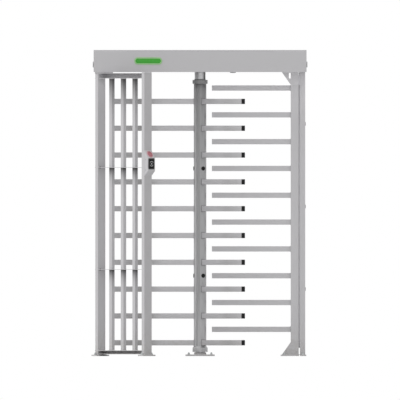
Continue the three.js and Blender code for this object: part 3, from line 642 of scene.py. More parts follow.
def discShape(bm, radius, low, high, rounding=0.0005, steps=32, matrix=None):
    # a round plate, stud or pin with a rounded upper rim
    lip = rounding * 0.3
    rim = [(radius, high - rounding), (radius - lip, high - lip), (radius - rounding, high)]
    spunShape(bm, [(0, low), (radius, low), *rim, (0, high)], steps, matrix)


screwHeads = {
    # radius and height of the head, radius and depth of its socket
    "reader": (0.0038, 0.0018, 0.0017, 0.0009),
    "combBolt": (0.014, 0.0037, 0.0052, 0.0022),
    "hoop": (0.0088, 0.0026, 0.0042, 0.0018),
    "yoke": (0.0036, 0.0022, 0.0015, 0.0012),
    "cover": (0.0048, 0.0020, 0.0021, 0.0013),
    "supply": (0.0034, 0.0018, 0.0015, 0.0010),
    "terminal": (0.0042, 0.0016, 0.0018, 0.0010),
    "saddle": (0.0028, 0.0016, 0.0012, 0.0008),
}


def socketHead(bm, size, matrix, crown=0.35, steps=36):
    # a domed screw head on z = 0 with a six-sided socket
    radius, height, socket, depth = screwHeads[size]
    before = set(bm.verts)
    edge = height * (1 - crown)
    spunShape(bm, [
        (0, height - depth), (socket, height - depth), (socket, height), (radius * 0.72, height),
        (radius * 0.93, (height + edge) / 2), (radius, edge), (radius, 0), (0, 0),
    ], steps)
    for vert in keepNew(bm, before):
        if abs(vert.co.xy.length - socket) < 0.00001:
            turn = (atan2(vert.co.y, vert.co.x) % (pi / 3)) - pi / 6
            vert.co.xy *= cos(pi / 6) / cos(turn)
    moveNew(bm, before, matrix)


def hexBolt(bm, radius, height, matrix, washer=1.2):
    # a six-sided head or nut on a washer
    flat = height * 0.22
    discShape(bm, radius * washer, 0, flat, 0.0004, 32, matrix)
    hexShape(bm, radius, flat, height, 0.0007, matrix)


def beadCollar(bm, halfX, halfY, z, leg, matrix=None):
    # weld bead round a bar that meets a plate at height z
    x, y = halfX + leg, halfY + leg
    roundedBox(bm, (-x, -y, z - leg), (x, y, z + leg), leg * 0.95, 3, matrix)


def finishPiece(bm, name, slotName, finish=None, replaced=(), body="frame"):
    bmesh.ops.recalc_face_normals(bm, faces=bm.faces)
    mesh = bpy.data.meshes.new(name)
    bm.to_mesh(mesh)
    bm.free()
    mesh.shade_smooth()
    mesh.set_sharp_from_angle(angle=radians(30))
    mesh.materials.append(finish or finishes[slotName])
    piece = linkObject(name, mesh)
    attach(piece, body)
    if replaced:
        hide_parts(*replaced)
    return piece


# Folded, sawn and welded steel: the frame's own solids with rounded edges

edgeRounding = {
    "tube": 0.0026,
    "sheet": 0.0009,  # the folds of the header, whose sheet is thin
    "fine": 0.0005,
    "roomShare": 4.0,  # a face next to a rounded edge is at least this many roundings wide
}
dressed = {
    "frame_paint": [
        "header_tray", "header_lid", "cage_top_plate", "tie_beam",
        "left_post_front", "left_post_rear", "guide_post_front", "guide_post_rear",
        "cage_panel_front", "cage_panel_side", "cage_panel_rear",
        "hoop_front_lower", "hoop_front_upper", "hoop_side_lower", "hoop_side_upper",
        "hoop_rear_lower", "hoop_rear_upper",
        "comb_frame", "side_post", "comb_spacer", "gusset_top", "gusset_bottom",
        "floor_pedestal", "reader_housing",
    ],
    "zinc_steel": ["lock_disc", "pawl_left", "pawl_right", "power_supply", "bearing_housing"],
    "coil": ["solenoid_left", "solenoid_right"],
    "black_plastic": ["control_box"],
}
# solids that need no rounding and only get their finish
bare = ("rotor_column", "lower_bearing", "upper_bearing", "lid_hinge_rod", "plunger_left", "plunger_right")


def faceWidth(face):
    return face.calc_area() / max(edge.calc_length() for edge in face.edges)


def edgesToRound(bm, offset):
    room = offset * edgeRounding["roomShare"]
    return [
        edge for edge in bm.edges
        if edge.is_manifold
        and radians(50) < edge.calc_face_angle() < radians(130)
        and edge.calc_length() > room
        and all(faceWidth(face) > room for face in edge.link_faces)
    ]


def pieceName(node):
    first, *rest = node.split("_")
    return first + "".join(word.capitalize() for word in rest)


def dressNode(node, slotName):
    source = frame["nodes"][node]
    bm = bmesh.new()
    bm.from_mesh(source.data)
    bmesh.ops.remove_doubles(bm, verts=bm.verts, dist=0.00001)
    bmesh.ops.dissolve_limit(bm, angle_limit=radians(0.5), verts=bm.verts, edges=bm.edges)
    wide = edgeRounding["sheet" if node.startswith("header") else "tube"]
    for offset, segments in ((wide, 3), (edgeRounding["fine"], 1)):
        sharp = edgesToRound(bm, offset)
        if sharp:
            bevelEdges(bm, sharp, offset, segments)
    finish = next((own for start, own in ownFinishes.items() if node.startswith(start)), None)
    piece = finishPiece(bm, pieceName(node), slotName, finish, [node], source["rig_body"])
    piece.modifiers.new("flatFaces", "WEIGHTED_NORMAL").keep_sharp = True


for slotName, nodes in dressed.items():
    for node in nodes:
        dressNode(node, slotName)
for part in frame["record"]["subparts"]:
    if part["node"] in bare:
        materials = frame["nodes"][part["node"]].data.materials
        materials.clear()
        materials.append(finishes[part["material_slot"]])
print("steelwork dressed")


# Rotor

rotor = {
    "columnRadius": 0.047,
    "stripInner": 0.0413,
    "stripLow": 0.0753,
    "stripHigh": 2.0447,
    "stripSpread": 112,
    "wings": {"A": ("wing_a", 180), "B": ("wing_b", -60), "C": ("wing_c", 60)},
    "armCount": 10,
    "lowestArm": 0.1,
    "armPitch": 0.2015,
    "armHeight": 0.04,
    "armWidth": 0.03,
    "armRounding": 0.003,
    "tubeStart": 0.0428,
    "tubeEnd": 0.647,
    "capEnd": 0.65,
    "beadStart": 0.0433,
    "beadLeg": 0.0034,
    "plugRows": (2.5, 6.5),
    "plugRadius": 0.0155,
    "plugProud": 0.0043,
}
turnedParts = {
    "steps": 96,
    "collarBore": 0.0388,
    "hubRadius": 0.0428,
    "hubHeight": 0.0072,
    "footBore": 0.036,
    "footSeam": 0.03,  # above the bottom collar's lower edge
    "footLip": 0.024,
    "sleeveRadius": 0.0412,  # bright dust sleeve on the neck under the header
    "sleeveTop": 2.1332,
    "shoulder": 2.1453,
    "journalRadius": 0.03,
    "journalTop": 2.1753,
    "seatRadius": 0.025,
}


def armHeights(first=0.0):
    return [rotor["lowestArm"] + (i + first) * rotor["armPitch"] for i in range(rotor["armCount"])]


def armBox(z, start, end, grow=0.0):
    # opposite corners of a length of one arm, or of the bead round it
    halfWidth, halfHeight = rotor["armWidth"] / 2 + grow, rotor["armHeight"] / 2 + grow
    return (start, -halfWidth, z - halfHeight), (end, halfWidth, z + halfHeight)


def makeStrip(letter, node, degrees):
    # curved plate that the arms are welded to
    bm = bmesh.new()
    inner, outer = rotor["stripInner"], rotor["columnRadius"]
    low, high = rotor["stripLow"], rotor["stripHigh"]
    arcBar(bm, [(inner, low), (outer, low), (outer, high), (inner, high)], radians(rotor["stripSpread"]), 56)
    bmesh.ops.recalc_face_normals(bm, faces=bm.faces)
    bevelEdges(bm, [edge for edge in bm.edges if edge.calc_face_angle() > radians(60)], 0.0008, 2)
    bm.transform(turned(degrees))
    finishPiece(bm, "columnStrip" + letter, "satin_steel", None, [node], "rotor")


def makeArms(letter, node, degrees):
    # tubes, the black plastic cap in each tube's end, with a soft domed face, and the welds at the roots
    tubes, caps, welds = bmesh.new(), bmesh.new(), bmesh.new()
    leg, rounding = rotor["beadLeg"], rotor["armRounding"]
    for z in armHeights():
        roundTube(tubes, *armBox(z, rotor["tubeStart"], rotor["tubeEnd"]), 0, rounding)
        roundTube(caps, *armBox(z, rotor["tubeEnd"] + 0.0001, rotor["capEnd"]), 0, rounding, 0.0012)
        roundedBox(welds, *armBox(z, rotor["beadStart"], rotor["columnRadius"] + leg, leg), leg * 0.95, 3)
    for bm in (tubes, caps, welds):
        bm.transform(turned(degrees))
    finishPiece(tubes, "wingArms" + letter, "frame_paint", wingFinishes[letter], [node], "rotor")
    finishPiece(caps, "endCaps" + letter, "black_plastic", body="rotor")
    # wings B and C get painted shade round their roots
    weld = weldFinish if letter == "A" else rootWeldFinish
    finishPiece(welds, "rootWelds" + letter, "frame_paint", weld, body="rotor")


def makePlugs():
    bm = bmesh.new()
    radius, proud = rotor["plugRadius"], rotor["plugProud"]
    outline = [
        (0, -0.004), (radius, -0.004), (radius, proud * 0.45), (radius * 0.93, proud * 0.8),
        (radius * 0.8, proud * 0.96), (radius * 0.42, proud), (radius * 0.38, proud * 0.6), (0, proud * 0.6),
    ]
    for (_, degrees), row in product(rotor["wings"].values(), rotor["plugRows"]):
        spot = at(rotor["columnRadius"], 0, rotor["lowestArm"] + row * rotor["armPitch"])
        spunShape(bm, outline, 40, turned(degrees) @ spot @ turned(90, "Y"))
    nodes = ["wing_plug_" + letter + row for letter in "abc" for row in "12"]
    finishPiece(bm, "columnPlugs", "black_plastic", None, nodes, "rotor")


def makeTurnedParts():
    steps, bore = turnedParts["steps"], turnedParts["collarBore"]
    bm = bmesh.new()
    low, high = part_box("top_collar")
    radius, chamfer, crisp = high.x, 0.003, 0.001
    spunShape(bm, [
        (bore, low.z), (radius - chamfer, low.z), (radius, low.z + chamfer),
        (radius, high.z - crisp), (radius - crisp, high.z), (bore, high.z),
    ], steps)
    for degrees in (30, 150, 270):
        # set screws that hold the collar
        spot = turned(degrees) @ at(radius, 0, (low.z + high.z) / 2) @ turned(90, "Y")
        hexShape(bm, 0.0034, -0.003, 0.0006, 0.0003, spot)
    finishPiece(bm, "topCollar", "satin_steel", collarFinish, ["top_collar"], "rotor")

    # a lower ring keeps the dust sleeve off the collar
    bm = bmesh.new()
    hub, hubLow, hubHigh = turnedParts["hubRadius"], high.z + 0.0001, high.z + turnedParts["hubHeight"]
    spunShape(bm, [
        (bore, hubLow), (hub, hubLow), (hub, hubHigh - 0.0012), (hub - 0.0012, hubHigh), (bore, hubHigh),
    ], steps)
    finishPiece(bm, "collarHub", "satin_steel", collarFinish, body="rotor")

    bm = bmesh.new()
    low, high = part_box("bottom_collar")
    radius, seam, strip = high.x, low.z + turnedParts["footSeam"], rotor["stripInner"]
    inner, lip = turnedParts["footBore"], turnedParts["footLip"]
    spunShape(bm, [
        (inner, low.z), (radius - crisp, low.z), (radius, low.z + crisp), (radius, seam),
        (rotor["columnRadius"], high.z), (strip, high.z), (strip, seam), (lip, seam),
        (lip, seam - 0.006), (inner, seam - 0.006),
    ], steps)
    finishPiece(bm, "bottomCollar", "satin_steel", footFinish, ["bottom_collar"], "rotor")

    bm = bmesh.new()
    low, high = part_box("spindle")
    neck, shank, step = high.x, high.x - 0.002, rotor["stripHigh"]
    sleeve, sleeveLow, sleeveHigh = turnedParts["sleeveRadius"], hubHigh + 0.0001, turnedParts["sleeveTop"]
    shoulder, journal = turnedParts["shoulder"], turnedParts["journalRadius"]
    journalTop = turnedParts["journalTop"]
    seat, top, chamfer = turnedParts["seatRadius"], high.z, 0.0015
    spunShape(bm, [
        (0, low.z), (shank, low.z), (shank, step), (neck, step + 0.0003), (neck, sleeveLow),
        (sleeve, sleeveLow), (sleeve, sleeveHigh - 0.0008), (sleeve - 0.0008, sleeveHigh), (neck, sleeveHigh),
        (neck, shoulder - crisp), (neck - crisp, shoulder), (journal, shoulder), (journal, journalTop),
        (seat, journalTop), (seat, top - chamfer), (seat - chamfer, top), (0, top),
    ], steps)
    finishPiece(bm, "spindle", "machined_steel", None, ["spindle"], "rotor")


for letter, (node, degrees) in rotor["wings"].items():
    makeStrip(letter, node, degrees)
    makeArms(letter, node, degrees)
makePlugs()
makeTurnedParts()
print("rotor dressed")


# The header's sheet, which the pieces on it and in it keep to
header = {"underside": 2.134, "floor": 2.137}

# Indicator lenses in the header, with pale bezels
indicator = {
    "length": 0.198,
    "height": 0.042,
    "lift": 0.085,  # of its middle over the header's underside
    "centre": -0.39,
    "depth": 0.005,
    "proud": 0.0018,
    "gap": 0.0008,
    "rim": 0.0062,
    "rimOver": 0.0036,  # how far the bezel lies over the lens
    "rimDrop": 0.0014,  # its middle lies a little below the lens's
    "rimProud": 0.0028,
}


def pillFace(bm, length, height, segments=48):
    # a circle pulled apart into a slot outline, filled
    ring = bmesh.ops.create_circle(bm, cap_ends=True, segments=segments, radius=height / 2)["verts"]
    bmesh.ops.rotate(bm, verts=ring, matrix=Matrix.Rotation(pi / segments, 3, "Z"))
    reach = (length - height) / 2
    for vert in ring:
        vert.co.x += reach if vert.co.x > 0 else -reach
    return ring


def makeIndicator(side, node, turn):
    upright = turned(turn) @ turned(90, "X")
    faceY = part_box("header_tray")[0].y * (-1 if turn else 1)
    spot = at(indicator["centre"], faceY, header["underside"] + indicator["lift"]) @ upright
    bm = bmesh.new()
    ring = pillFace(bm, indicator["length"] - indicator["gap"], indicator["height"] - indicator["gap"])
    depth = indicator["depth"]
    slabFrom(bm, set(), ring, depth + indicator["proud"], 0.0012, 3, spot @ at(0, 0, -depth))
    finishPiece(bm, "indicatorLens" + side, "green_lens", replaced=[node])

    bm = bmesh.new()
    rim = indicator["rim"]
    ring = pillFace(bm, indicator["length"] + 2 * rim, indicator["height"] + 2 * rim)
    inset = rim + indicator["rimOver"]
    inner = bmesh.ops.inset_region(
        bm, faces=facesOf(ring), thickness=inset, use_even_offset=True, use_boundary=True,
    )
    hole = [face for face in bm.faces if face not in inner["faces"]]
    bmesh.ops.delete(bm, geom=hole, context="FACES_ONLY")
    top = raiseFaces(bm, list(bm.faces), indicator["rimProud"])
    edges = [edge for edge in edgesAmong(top) if edge.is_manifold and edge.calc_face_angle() > radians(60)]
    bevelEdges(bm, edges, 0.0006, 2)
    moveNew(bm, set(), spot @ at(0, -indicator["rimDrop"], 0))
    finishPiece(bm, "indicatorRim" + side, "frame_paint", rimFinish)


makeIndicator("Front", "indicator_front", 0)
makeIndicator("Rear", "indicator_rear", 180)
print("indicators made")


# Card reader on the guide post: a dark frame, a glossy window with rings, and the status lamp above it

reader = {
    "turn": -45,
    "distance": 0.705,
    "back": 0.18894,  # the panel's back, along the front side's own x axis
    "width": 0.062,
    "aside": -0.003,  # from the middle of the housing's face
    "low": 1.404,
    "high": 1.486,
    "thickness": 0.004,
    "corner": 0.007,
    "border": 0.008,
    "recess": 0.0011,
    "windowGap": 0.0007,
    "windowDrop": 0.0003,  # behind the frame's front
    "ringRadius": 0.0178,
    "ringWidth": 0.0042,
    "ringSweep": 124,
    "ringLow": 0.0001,
    "ringHigh": 0.0007,
    "dotRadius": 0.0062,
    "screws": (0.166, 0.039, (1.398, 1.478)),  # along the front side, half across, heights
}
statusLamp = {
    "radius": 0.022,
    "tilt": atan2(0.059, 0.036),
    "spot": (0.17090, 0, 1.51666),
    "base": 0.0028,
    "dome": 0.0058,
    "rings": 7,
    "bezelRadius": 0.0290,
}
readerFinishes = {
    "frame": makePlastic("readerFrame", (60, 60, 61), 0.55, 360, 0.25, specular=0.2),
    "window": makePlastic("readerWindow", (9, 10, 11), 0.4, 60, 0.02, specular=0.1),
    "rings": makePlastic("readerRings", (176, 177, 178), 0.5, 300, 0.08),
    "bezel": makePlastic("lampBezel", (196, 150, 158), 0.42, 300, 0.1, coatWeight=0.2),
}
readerPlane = turned(reader["turn"]) @ at(0, -reader["distance"], 0)
panelPlane = readerPlane @ at(0, reader["aside"], 0)


def makeReaderPanel():
    half, front = reader["width"] / 2, reader["back"] + reader["thickness"]
    low, high = reader["low"], reader["high"]
    bm = bmesh.new()
    roundTube(bm, (reader["back"], -half, low), (front, half, high), 0, reader["corner"], 0.0009, 5)
    face = max(bm.faces, key=lambda item: item.calc_center_median().x)
    for thickness in (reader["border"] - 0.0009, 0.0004):
        bmesh.ops.inset_region(bm, faces=[face], thickness=thickness, use_even_offset=True)
    bmesh.ops.translate(bm, vec=(-reader["recess"], 0, 0), verts=face.verts)
    bm.transform(panelPlane)
    finishPiece(bm, "readerPanel", "black_plastic", readerFinishes["frame"], ["reader_panel"])

    bm = bmesh.new()
    inset, windowFront = reader["border"] + reader["windowGap"], front - reader["windowDrop"]
    rearCorner = (front - reader["recess"] + 0.0001, inset - half, low + inset)
    roundTube(bm, rearCorner, (windowFront, half - inset, high - inset), 0, 0.003, 0.0003)
    bm.transform(panelPlane)
    finishPiece(bm, "readerWindow", "black_plastic", readerFinishes["window"])

    bm = bmesh.new()
    spot = panelPlane @ at(windowFront, 0, (low + high) / 2) @ turned(90, "Y")
    low, high, halfRing = reader["ringLow"], reader["ringHigh"], reader["ringWidth"] / 2
    inner, outer = reader["ringRadius"] - halfRing, reader["ringRadius"] + halfRing
    for middle in (0, pi):
        corners = [(inner, low), (outer, low), (outer, high), (inner, high)]
        arcBar(bm, corners, radians(reader["ringSweep"]), 28, middle)
    bm.transform(spot)
    discShape(bm, reader["dotRadius"], low, high + 0.0002, 0.0003, 32, spot)
    finishPiece(bm, "readerRings", "black_plastic", readerFinishes["rings"])


def makeStatusLamp():
    spot = readerPlane @ at(*statusLamp["spot"]) @ Matrix.Rotation(statusLamp["tilt"], 4, "Y")
    radius, base, dome, rings = (statusLamp[name] for name in ("radius", "base", "dome", "rings"))
    outline = [(0, 0), (radius, 0), (radius, base * 0.85), (radius - 0.0005, base)]
    for i in range(1, rings):
        # stepped like a lamp lens that spreads its light
        share = 1 - i / rings
        height = base + dome * cos(share * pi / 2)
        outline += [(radius * share + 0.0007, height - 0.0001), (radius * share, height - 0.0005)]
    outline.append((0, base + dome))
    bm = bmesh.new()
    spunShape(bm, outline, 64, spot)
    finishPiece(bm, "statusLamp", "red_lens", replaced=["status_lamp"])
    bm = bmesh.new()
    inner, outer = radius + 0.0004, statusLamp["bezelRadius"]
    spunShape(bm, [
        (inner, -0.0002), (outer, -0.0002), (outer, 0.0012), (outer - 0.0012, 0.0026),
        (inner + 0.0014, 0.0034), (inner, 0.0026),
    ], 64, spot)
    finishPiece(bm, "lampBezel", "red_lens", readerFinishes["bezel"])


def makeReaderScrews():
    bm = bmesh.new()
    along, across, heights = reader["screws"]
    for side, z in product((-1, 1), heights):
        place = readerPlane @ at(along, side * across, z) @ turned(-side * 90, "X")
        socketHead(bm, "reader", place)
    finishPiece(bm, "readerScrews", "zinc_steel")


makeReaderPanel()
makeStatusLamp()
makeReaderScrews()
print("card reader made")


# Quarter turn locks of the lid

lock = {
    "wall": 0.8003,  # the header's end walls, outer side
    "axis": 2.191,
    "headRadius": 0.0225,
    "headHeight": 0.006,
    "shankRadius": 0.010,
    "camBack": 0.0123,  # from the header's end wall to the inner side of the cam
    "camThickness": 0.003,
    "camHalfWidth": 0.008,
    "camDown": 0.008,
    "camUp": 0.038,
    "keyRadius": 0.0092,
    "keyDepth": 0.003,
    "wingHalf": (0.0016, 0.0078),
}


def makeLock(node, body, name, side):
    wall, axis = side * lock["wall"], lock["axis"]
    outwards = at(wall, 0, axis) @ turned(side * 90, "Y")
    radius, key, shank = lock["headRadius"], lock["keyRadius"], lock["shankRadius"]
    height, shankEnd = lock["headHeight"], 0.0005 - lock["camBack"]
    seat = height - lock["keyDepth"]
    bm = bmesh.new()
    spunShape(bm, [
        (0, seat), (key, seat), (key, height - 0.0005), (key + 0.0005, height), (radius - 0.0028, height),
        (radius - 0.0006, height - 0.0018), (radius, height - 0.003), (radius, 0),
        (shank, 0), (shank, shankEnd), (0, shankEnd),
    ], 64, outwards)
    # the wing of the key's seat, the cam, and the nut that holds it
    x, y = lock["wingHalf"]
    roundedBox(bm, (-x, -y, seat - 0.0002), (x, y, height - 0.0008), 0.0005, 2, outwards)
    back, half = lock["camBack"], lock["camHalfWidth"]
    inner, outer = sorted(wall - side * reach for reach in (back, back - lock["camThickness"]))
    low, high = (inner, -half, axis - lock["camDown"]), (outer, half, axis + lock["camUp"])
    roundTube(bm, low, high, 0, 0.005, 0.0005, 4)
    hexShape(bm, 0.0078, -0.0093, -0.005, 0.0005, outwards)
    finishPiece(bm, name, "zinc_steel", lockFinish, [node], body)


makeLock("lock_left", "left_lock", "leftLock", -1)
makeLock("lock_right", "right_lock", "rightLock", 1)
print("locks made")


# Bolts through the side post

combBolt = {
    "headX": 0.7903,
    "shankRadius": 0.0055,
    "endX": 0.730,
    "pitch": 0.00175,
    "threads": 11,
}


def makeCombBolt(node):
    low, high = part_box(node)
    spot = at(combBolt["headX"], 0, ((low + high) / 2).z) @ turned(90, "Y")
    bm = bmesh.new()
    socketHead(bm, "combBolt", spot, 0.6, 48)
    shank = combBolt["headX"] - combBolt["endX"]
    pitch, radius = combBolt["pitch"], combBolt["shankRadius"]
    outline = [(0, -shank), (radius - 0.001, -shank), (radius, 0.001 - shank)]
    for i in range(1, combBolt["threads"] + 1):
        height = 0.001 - shank + i * pitch
        outline += [(radius - 0.0006, height), (radius, height + pitch / 2)]
    outline += [(radius, 0.0002), (0, 0.0002)]
    spunShape(bm, outline, 32, spot)
    finishPiece(bm, pieceName(node), "zinc_steel", lockFinish, [node])


for level in ("lower", "middle", "upper"):
    makeCombBolt("comb_bolt_" + level)
print("comb bolts made")


# Floor anchors: a stud with its nut and washer

feet = {
    "thickness": 0.010,
    "pedestalThickness": 0.012,
    "cagePosts": {(-0.4014, -0.59562): 1, (-0.75, -0.24702): 1, (-0.4014, 0.59562): -1, (-0.75, 0.24702): -1},
    "cageAnchor": 0.054,  # along the post's long side
    "combPost": (0.711, 0.030, 0.030),  # place along x, half its width and depth
    "sidePost": (0.770, 0.020, 0.040),
    "combAnchors": [(0.633, -0.055), (0.633, 0.055)],
    "sideAnchors": [(0.770, -0.075), (0.770, 0.075)],
    "pedestalAnchor": 0.085,
}
anchor = {"nutRadius": 0.0098, "nutHeight": 0.0095, "studRadius": 0.005, "studTop": 0.0165}


def makeAnchors(name, places, height=feet["thickness"]):
    bm = bmesh.new()
    for x, y in places:
        spot = at(x, y, height)
        hexBolt(bm, anchor["nutRadius"], anchor["nutHeight"], spot, 1.08)
        discShape(bm, anchor["studRadius"], 0, anchor["studTop"], 0.0012, 24, spot)
    finishPiece(bm, name, "zinc_steel")


slant = feet["cageAnchor"] * cos(pi / 4)
corner = feet["pedestalAnchor"]
makeAnchors("cageAnchors", [
    (x + end * slant, y + end * side * slant) for (x, y), side in feet["cagePosts"].items() for end in (-1, 1)
])
makeAnchors("combAnchors", feet["combAnchors"])
makeAnchors("sideAnchors", feet["sideAnchors"])
makeAnchors("pedestalAnchors", product((-corner, corner), repeat=2), feet["pedestalThickness"])
print("floor anchors made")


# Weld beads

cage = {
    # turn of the panel, its distance from the rotor's axis, the middle bar's place along it, the bars' pitch
    "panels": {
        "Front": (-45, 0.705, -0.10916, 0.12325),
        "Side": (-90, 0.750, 0, 0.12351),
        "Rear": (-135, 0.705, 0.10916, 0.12325),
    },
    "barHalf": 0.015,
    "barLow": 0.043,
    "barHigh": 2.086,
}
posts = {"halfWidth": 0.015, "halfDepth": 0.040, "top": 2.126}
bead = {"bar": 0.0028, "foot": 0.0036, "pedestal": 0.0042, "combRoot": 0.681, "pedestalTube": 0.045}


def postPlane(x, y, side):
    # stands on the post's axis, with y along its long side
    return at(x, y, 0) @ turned(-45 if side > 0 else -135)


def makeCageWelds():
    half = cage["barHalf"]
    for name, (turn, distance, centre, pitch) in cage["panels"].items():
        bm = bmesh.new()
        for i, z in product((-1, 0, 1), (cage["barLow"], cage["barHigh"])):
            beadCollar(bm, half, half, z, bead["bar"], turned(turn) @ at(centre + i * pitch, -distance, 0))
        finishPiece(bm, "barWelds" + name, "frame_paint", weldFinish)
    bm = bmesh.new()
    plate, leg = feet["thickness"], bead["foot"]
    for (x, y), side in feet["cagePosts"].items():
        beadCollar(bm, posts["halfWidth"], posts["halfDepth"], plate, leg, postPlane(x, y, side))
    for x, halfX, halfY in (feet["combPost"], feet["sidePost"]):
        beadCollar(bm, halfX, halfY, plate, leg, at(x, 0, 0))
    finishPiece(bm, "footWelds", "frame_paint", weldFinish)


def makeCombWelds():
    bm = bmesh.new()
    leg, root = bead["bar"], bead["combRoot"]
    for z in armHeights(0.5):
        roundedBox(bm, *armBox(z, root - leg, root + leg, leg), leg * 0.95, 3)
    finishPiece(bm, "combWelds", "frame_paint", weldFinish)


def makePedestalWeld():
    bm = bmesh.new()
    low, leg, tube = feet["pedestalThickness"], bead["pedestal"], bead["pedestalTube"]
    sunk, under = tube - 0.0005, low - 0.0005
    spunShape(bm, [
        (sunk, under), (tube + leg, under), (tube + leg * 0.8, low + leg * 0.35),
        (tube + leg * 0.35, low + leg * 0.8), (tube, low + leg), (sunk, low + leg),
    ], 96)
    finishPiece(bm, "pedestalWeld", "frame_paint", weldFinish)


makeCageWelds()
makeCombWelds()
makePedestalWeld()
print("welds made")


# Small fittings of the frame

fitting = {
    "hoopLevels": (1.41698, 0.65087),
    "screwAlong": -0.0178,  # from the middle of the post's long side, away from the rotor
    "capHeight": 0.0074,
    "sealMiddle": 0.7465,
    "sealHalf": 0.0031,
    "sealSides": (0.0160, 0.0245),
    "sealHeights": (0.0640, 2.1335),
    "gussetSeal": (0.7385, (-0.0372, -0.0290), (2.0392, 2.1120)),  # start along x, from and to along y and z
    "plugPlace": (0.246, -0.18, 2.1335),
}
# the guide posts stand further from the middle than the left posts
leftPosts, guidePosts = [
    [(x, y, side) for (x, y), side in feet["cagePosts"].items() if (abs(y) > 0.5) == outer]
    for outer in (False, True)
]


def makeHoopScrews():
    # only the left posts have them, the guide posts' hoop ends are welded
    bm = bmesh.new()
    for post, z, face in product(leftPosts, fitting["hoopLevels"], (-1, 1)):
        spot = postPlane(*post) @ at(face * posts["halfWidth"], fitting["screwAlong"], z)
        socketHead(bm, "hoop", spot @ turned(face * 90, "Y"))
    finishPiece(bm, "hoopScrews", "frame_paint", rootWeldFinish)


def makePostCaps():
    # caps on the two guide posts, which stand clear of the header
    bm = bmesh.new()
    halfWidth, halfDepth, top = posts["halfWidth"], posts["halfDepth"], posts["top"]
    for post in guidePosts:
        roundTube(
            bm, (-halfWidth, -halfDepth, top + 0.0002), (halfWidth, halfDepth, top + fitting["capHeight"]),
            2, 0.0026, 0.0012, 3, postPlane(*post),
        )
    finishPiece(bm, "postCaps", "frame_paint")


def makeSeal():
    # a pale bead over the gusset's edge, whose pale colour is a painted highlight of that edge, and pale
    # sealant in the groove between comb post and side post
    bm = bmesh.new()
    middle, half = fitting["sealMiddle"], fitting["sealHalf"]
    start, (front, back), (bottom, top) = fitting["gussetSeal"]
    roundedBox(bm, (start, front, bottom), (middle + half, back, top), 0.0016, 3)
    bottom, top = fitting["sealHeights"]
    for side in (-1, 1):
        low, high = sorted(side * reach for reach in fitting["sealSides"])
        roundedBox(bm, (middle - half, low, bottom), (middle + half, high, top), 0.0010)
    finishPiece(bm, "combSeal", "frame_paint", sealAndHighlightFinish)


def makeUnderPlug():
    # blanked cable entry under the header
    bm = bmesh.new()
    spunShape(bm, [
        (0, 0.0001), (0.0225, 0.0001), (0.0225, 0.0022), (0.0205, 0.0046), (0.009, 0.0062), (0.0078, 0.0048),
        (0, 0.0048),
    ], 48, at(*fitting["plugPlace"]) @ turned(180, "X"))
    finishPiece(bm, "entryPlug", "black_plastic", plugFinish)


makeHoopScrews()
makePostCaps()
makeSeal()
makeUnderPlug()
print("fittings made")


# What the lid covers

inside = {
    "plateTop": 2.1453,
    "housingBolt": (0.080, 0.0078, 0.0072),  # place, radius and height
    "solenoid": (0.256, 0.035, 2.1806),  # the right hand one; the left is turned half a turn
    "controlBox": ((0.415, -0.085), (0.665, 0.085), 2.1993),
    "cover": {"gap": 0.001, "skirt": 0.014, "thickness": 0.0022, "screwMargin": 0.014},
    "supply": ((-0.640, -0.049), (-0.480, 0.049), 2.1823),
    "floorBolt": (0.0072, 0.0068),  # radius and height
    "floorBolts": [
        (-0.75, -0.235), (-0.75, 0.235), (-0.70, -0.12), (-0.70, 0.12), (-0.4014, -0.19), (-0.4014, 0.19),
        (-0.4014, -0.21), (-0.4014, 0.21), (0.711, -0.015), (0.711, 0.015), (0.770, -0.025), (0.770, 0.025),
    ],
    "buffers": ((-0.72, -0.24, 0.24, 0.72), -0.270, 2.2979),
}
yoke = {
    "half": 0.0312, "inner": 0.0272, "outer": 0.029, "low": -0.025, "high": 0.0268, "screw": (0.023, 0.018),
}
supply = {"louvres": 12, "louvreStart": 0.020, "louvrePitch": 0.0085, "terminals": 6, "terminalPitch": 0.0134}
wiring = {
    "radius": 0.003,
    "sides": 14,
    "bend": 0.020,
    "bendSteps": 8,
    "glands": (-0.035, 0.0, 0.035),
    "glandHeight": 2.163,
    "glandNut": (0.0105, 0.005),  # radius and length
    "glandSleeve": (0.0078, 0.0125),  # radius and end
    "coilHeight": 2.158,
    "saddles": (0.22, 0.0, -0.22),
    "saddleY": 0.2305,
    "saddleHalf": (0.006, 0.012),
    "saddleThickness": 0.0016,
    "saddleLeg": 0.0107,
    "lift": 0.0002,  # what keeps cables and saddles clear of the sheet
}


def makeHeaderBolts():
    bm = bmesh.new()
    reach, radius, height = inside["housingBolt"]
    for x, y in product((-reach, reach), repeat=2):
        hexBolt(bm, radius, height, at(x, y, inside["plateTop"]))
    finishPiece(bm, "housingBolts", "zinc_steel")
    bm = bmesh.new()
    for x, y in inside["floorBolts"]:
        hexBolt(bm, *inside["floorBolt"], at(x, y, header["floor"]))
    finishPiece(bm, "headerBolts", "zinc_steel")


def makeSolenoidYoke(name, turn):
    bm = bmesh.new()
    x, y, z = inside["solenoid"]
    spot = turned(turn) @ at(x, -y, z)
    half, inner, outer = yoke["half"], yoke["inner"], yoke["outer"]
    roundedBox(bm, (-half, -0.0288, 0.0252), (half, 0.0288, inner), matrix=spot)
    for face in (-1, 1):
        low, high = sorted((face * inner, face * outer))
        roundedBox(bm, (-half, low, yoke["low"]), (half, high, yoke["high"]), matrix=spot)
        for end in (-1, 1):
            place = spot @ at(end * yoke["screw"][0], face * yoke["screw"][1], inner)
            socketHead(bm, "yoke", place)
    finishPiece(bm, name, "zinc_steel")


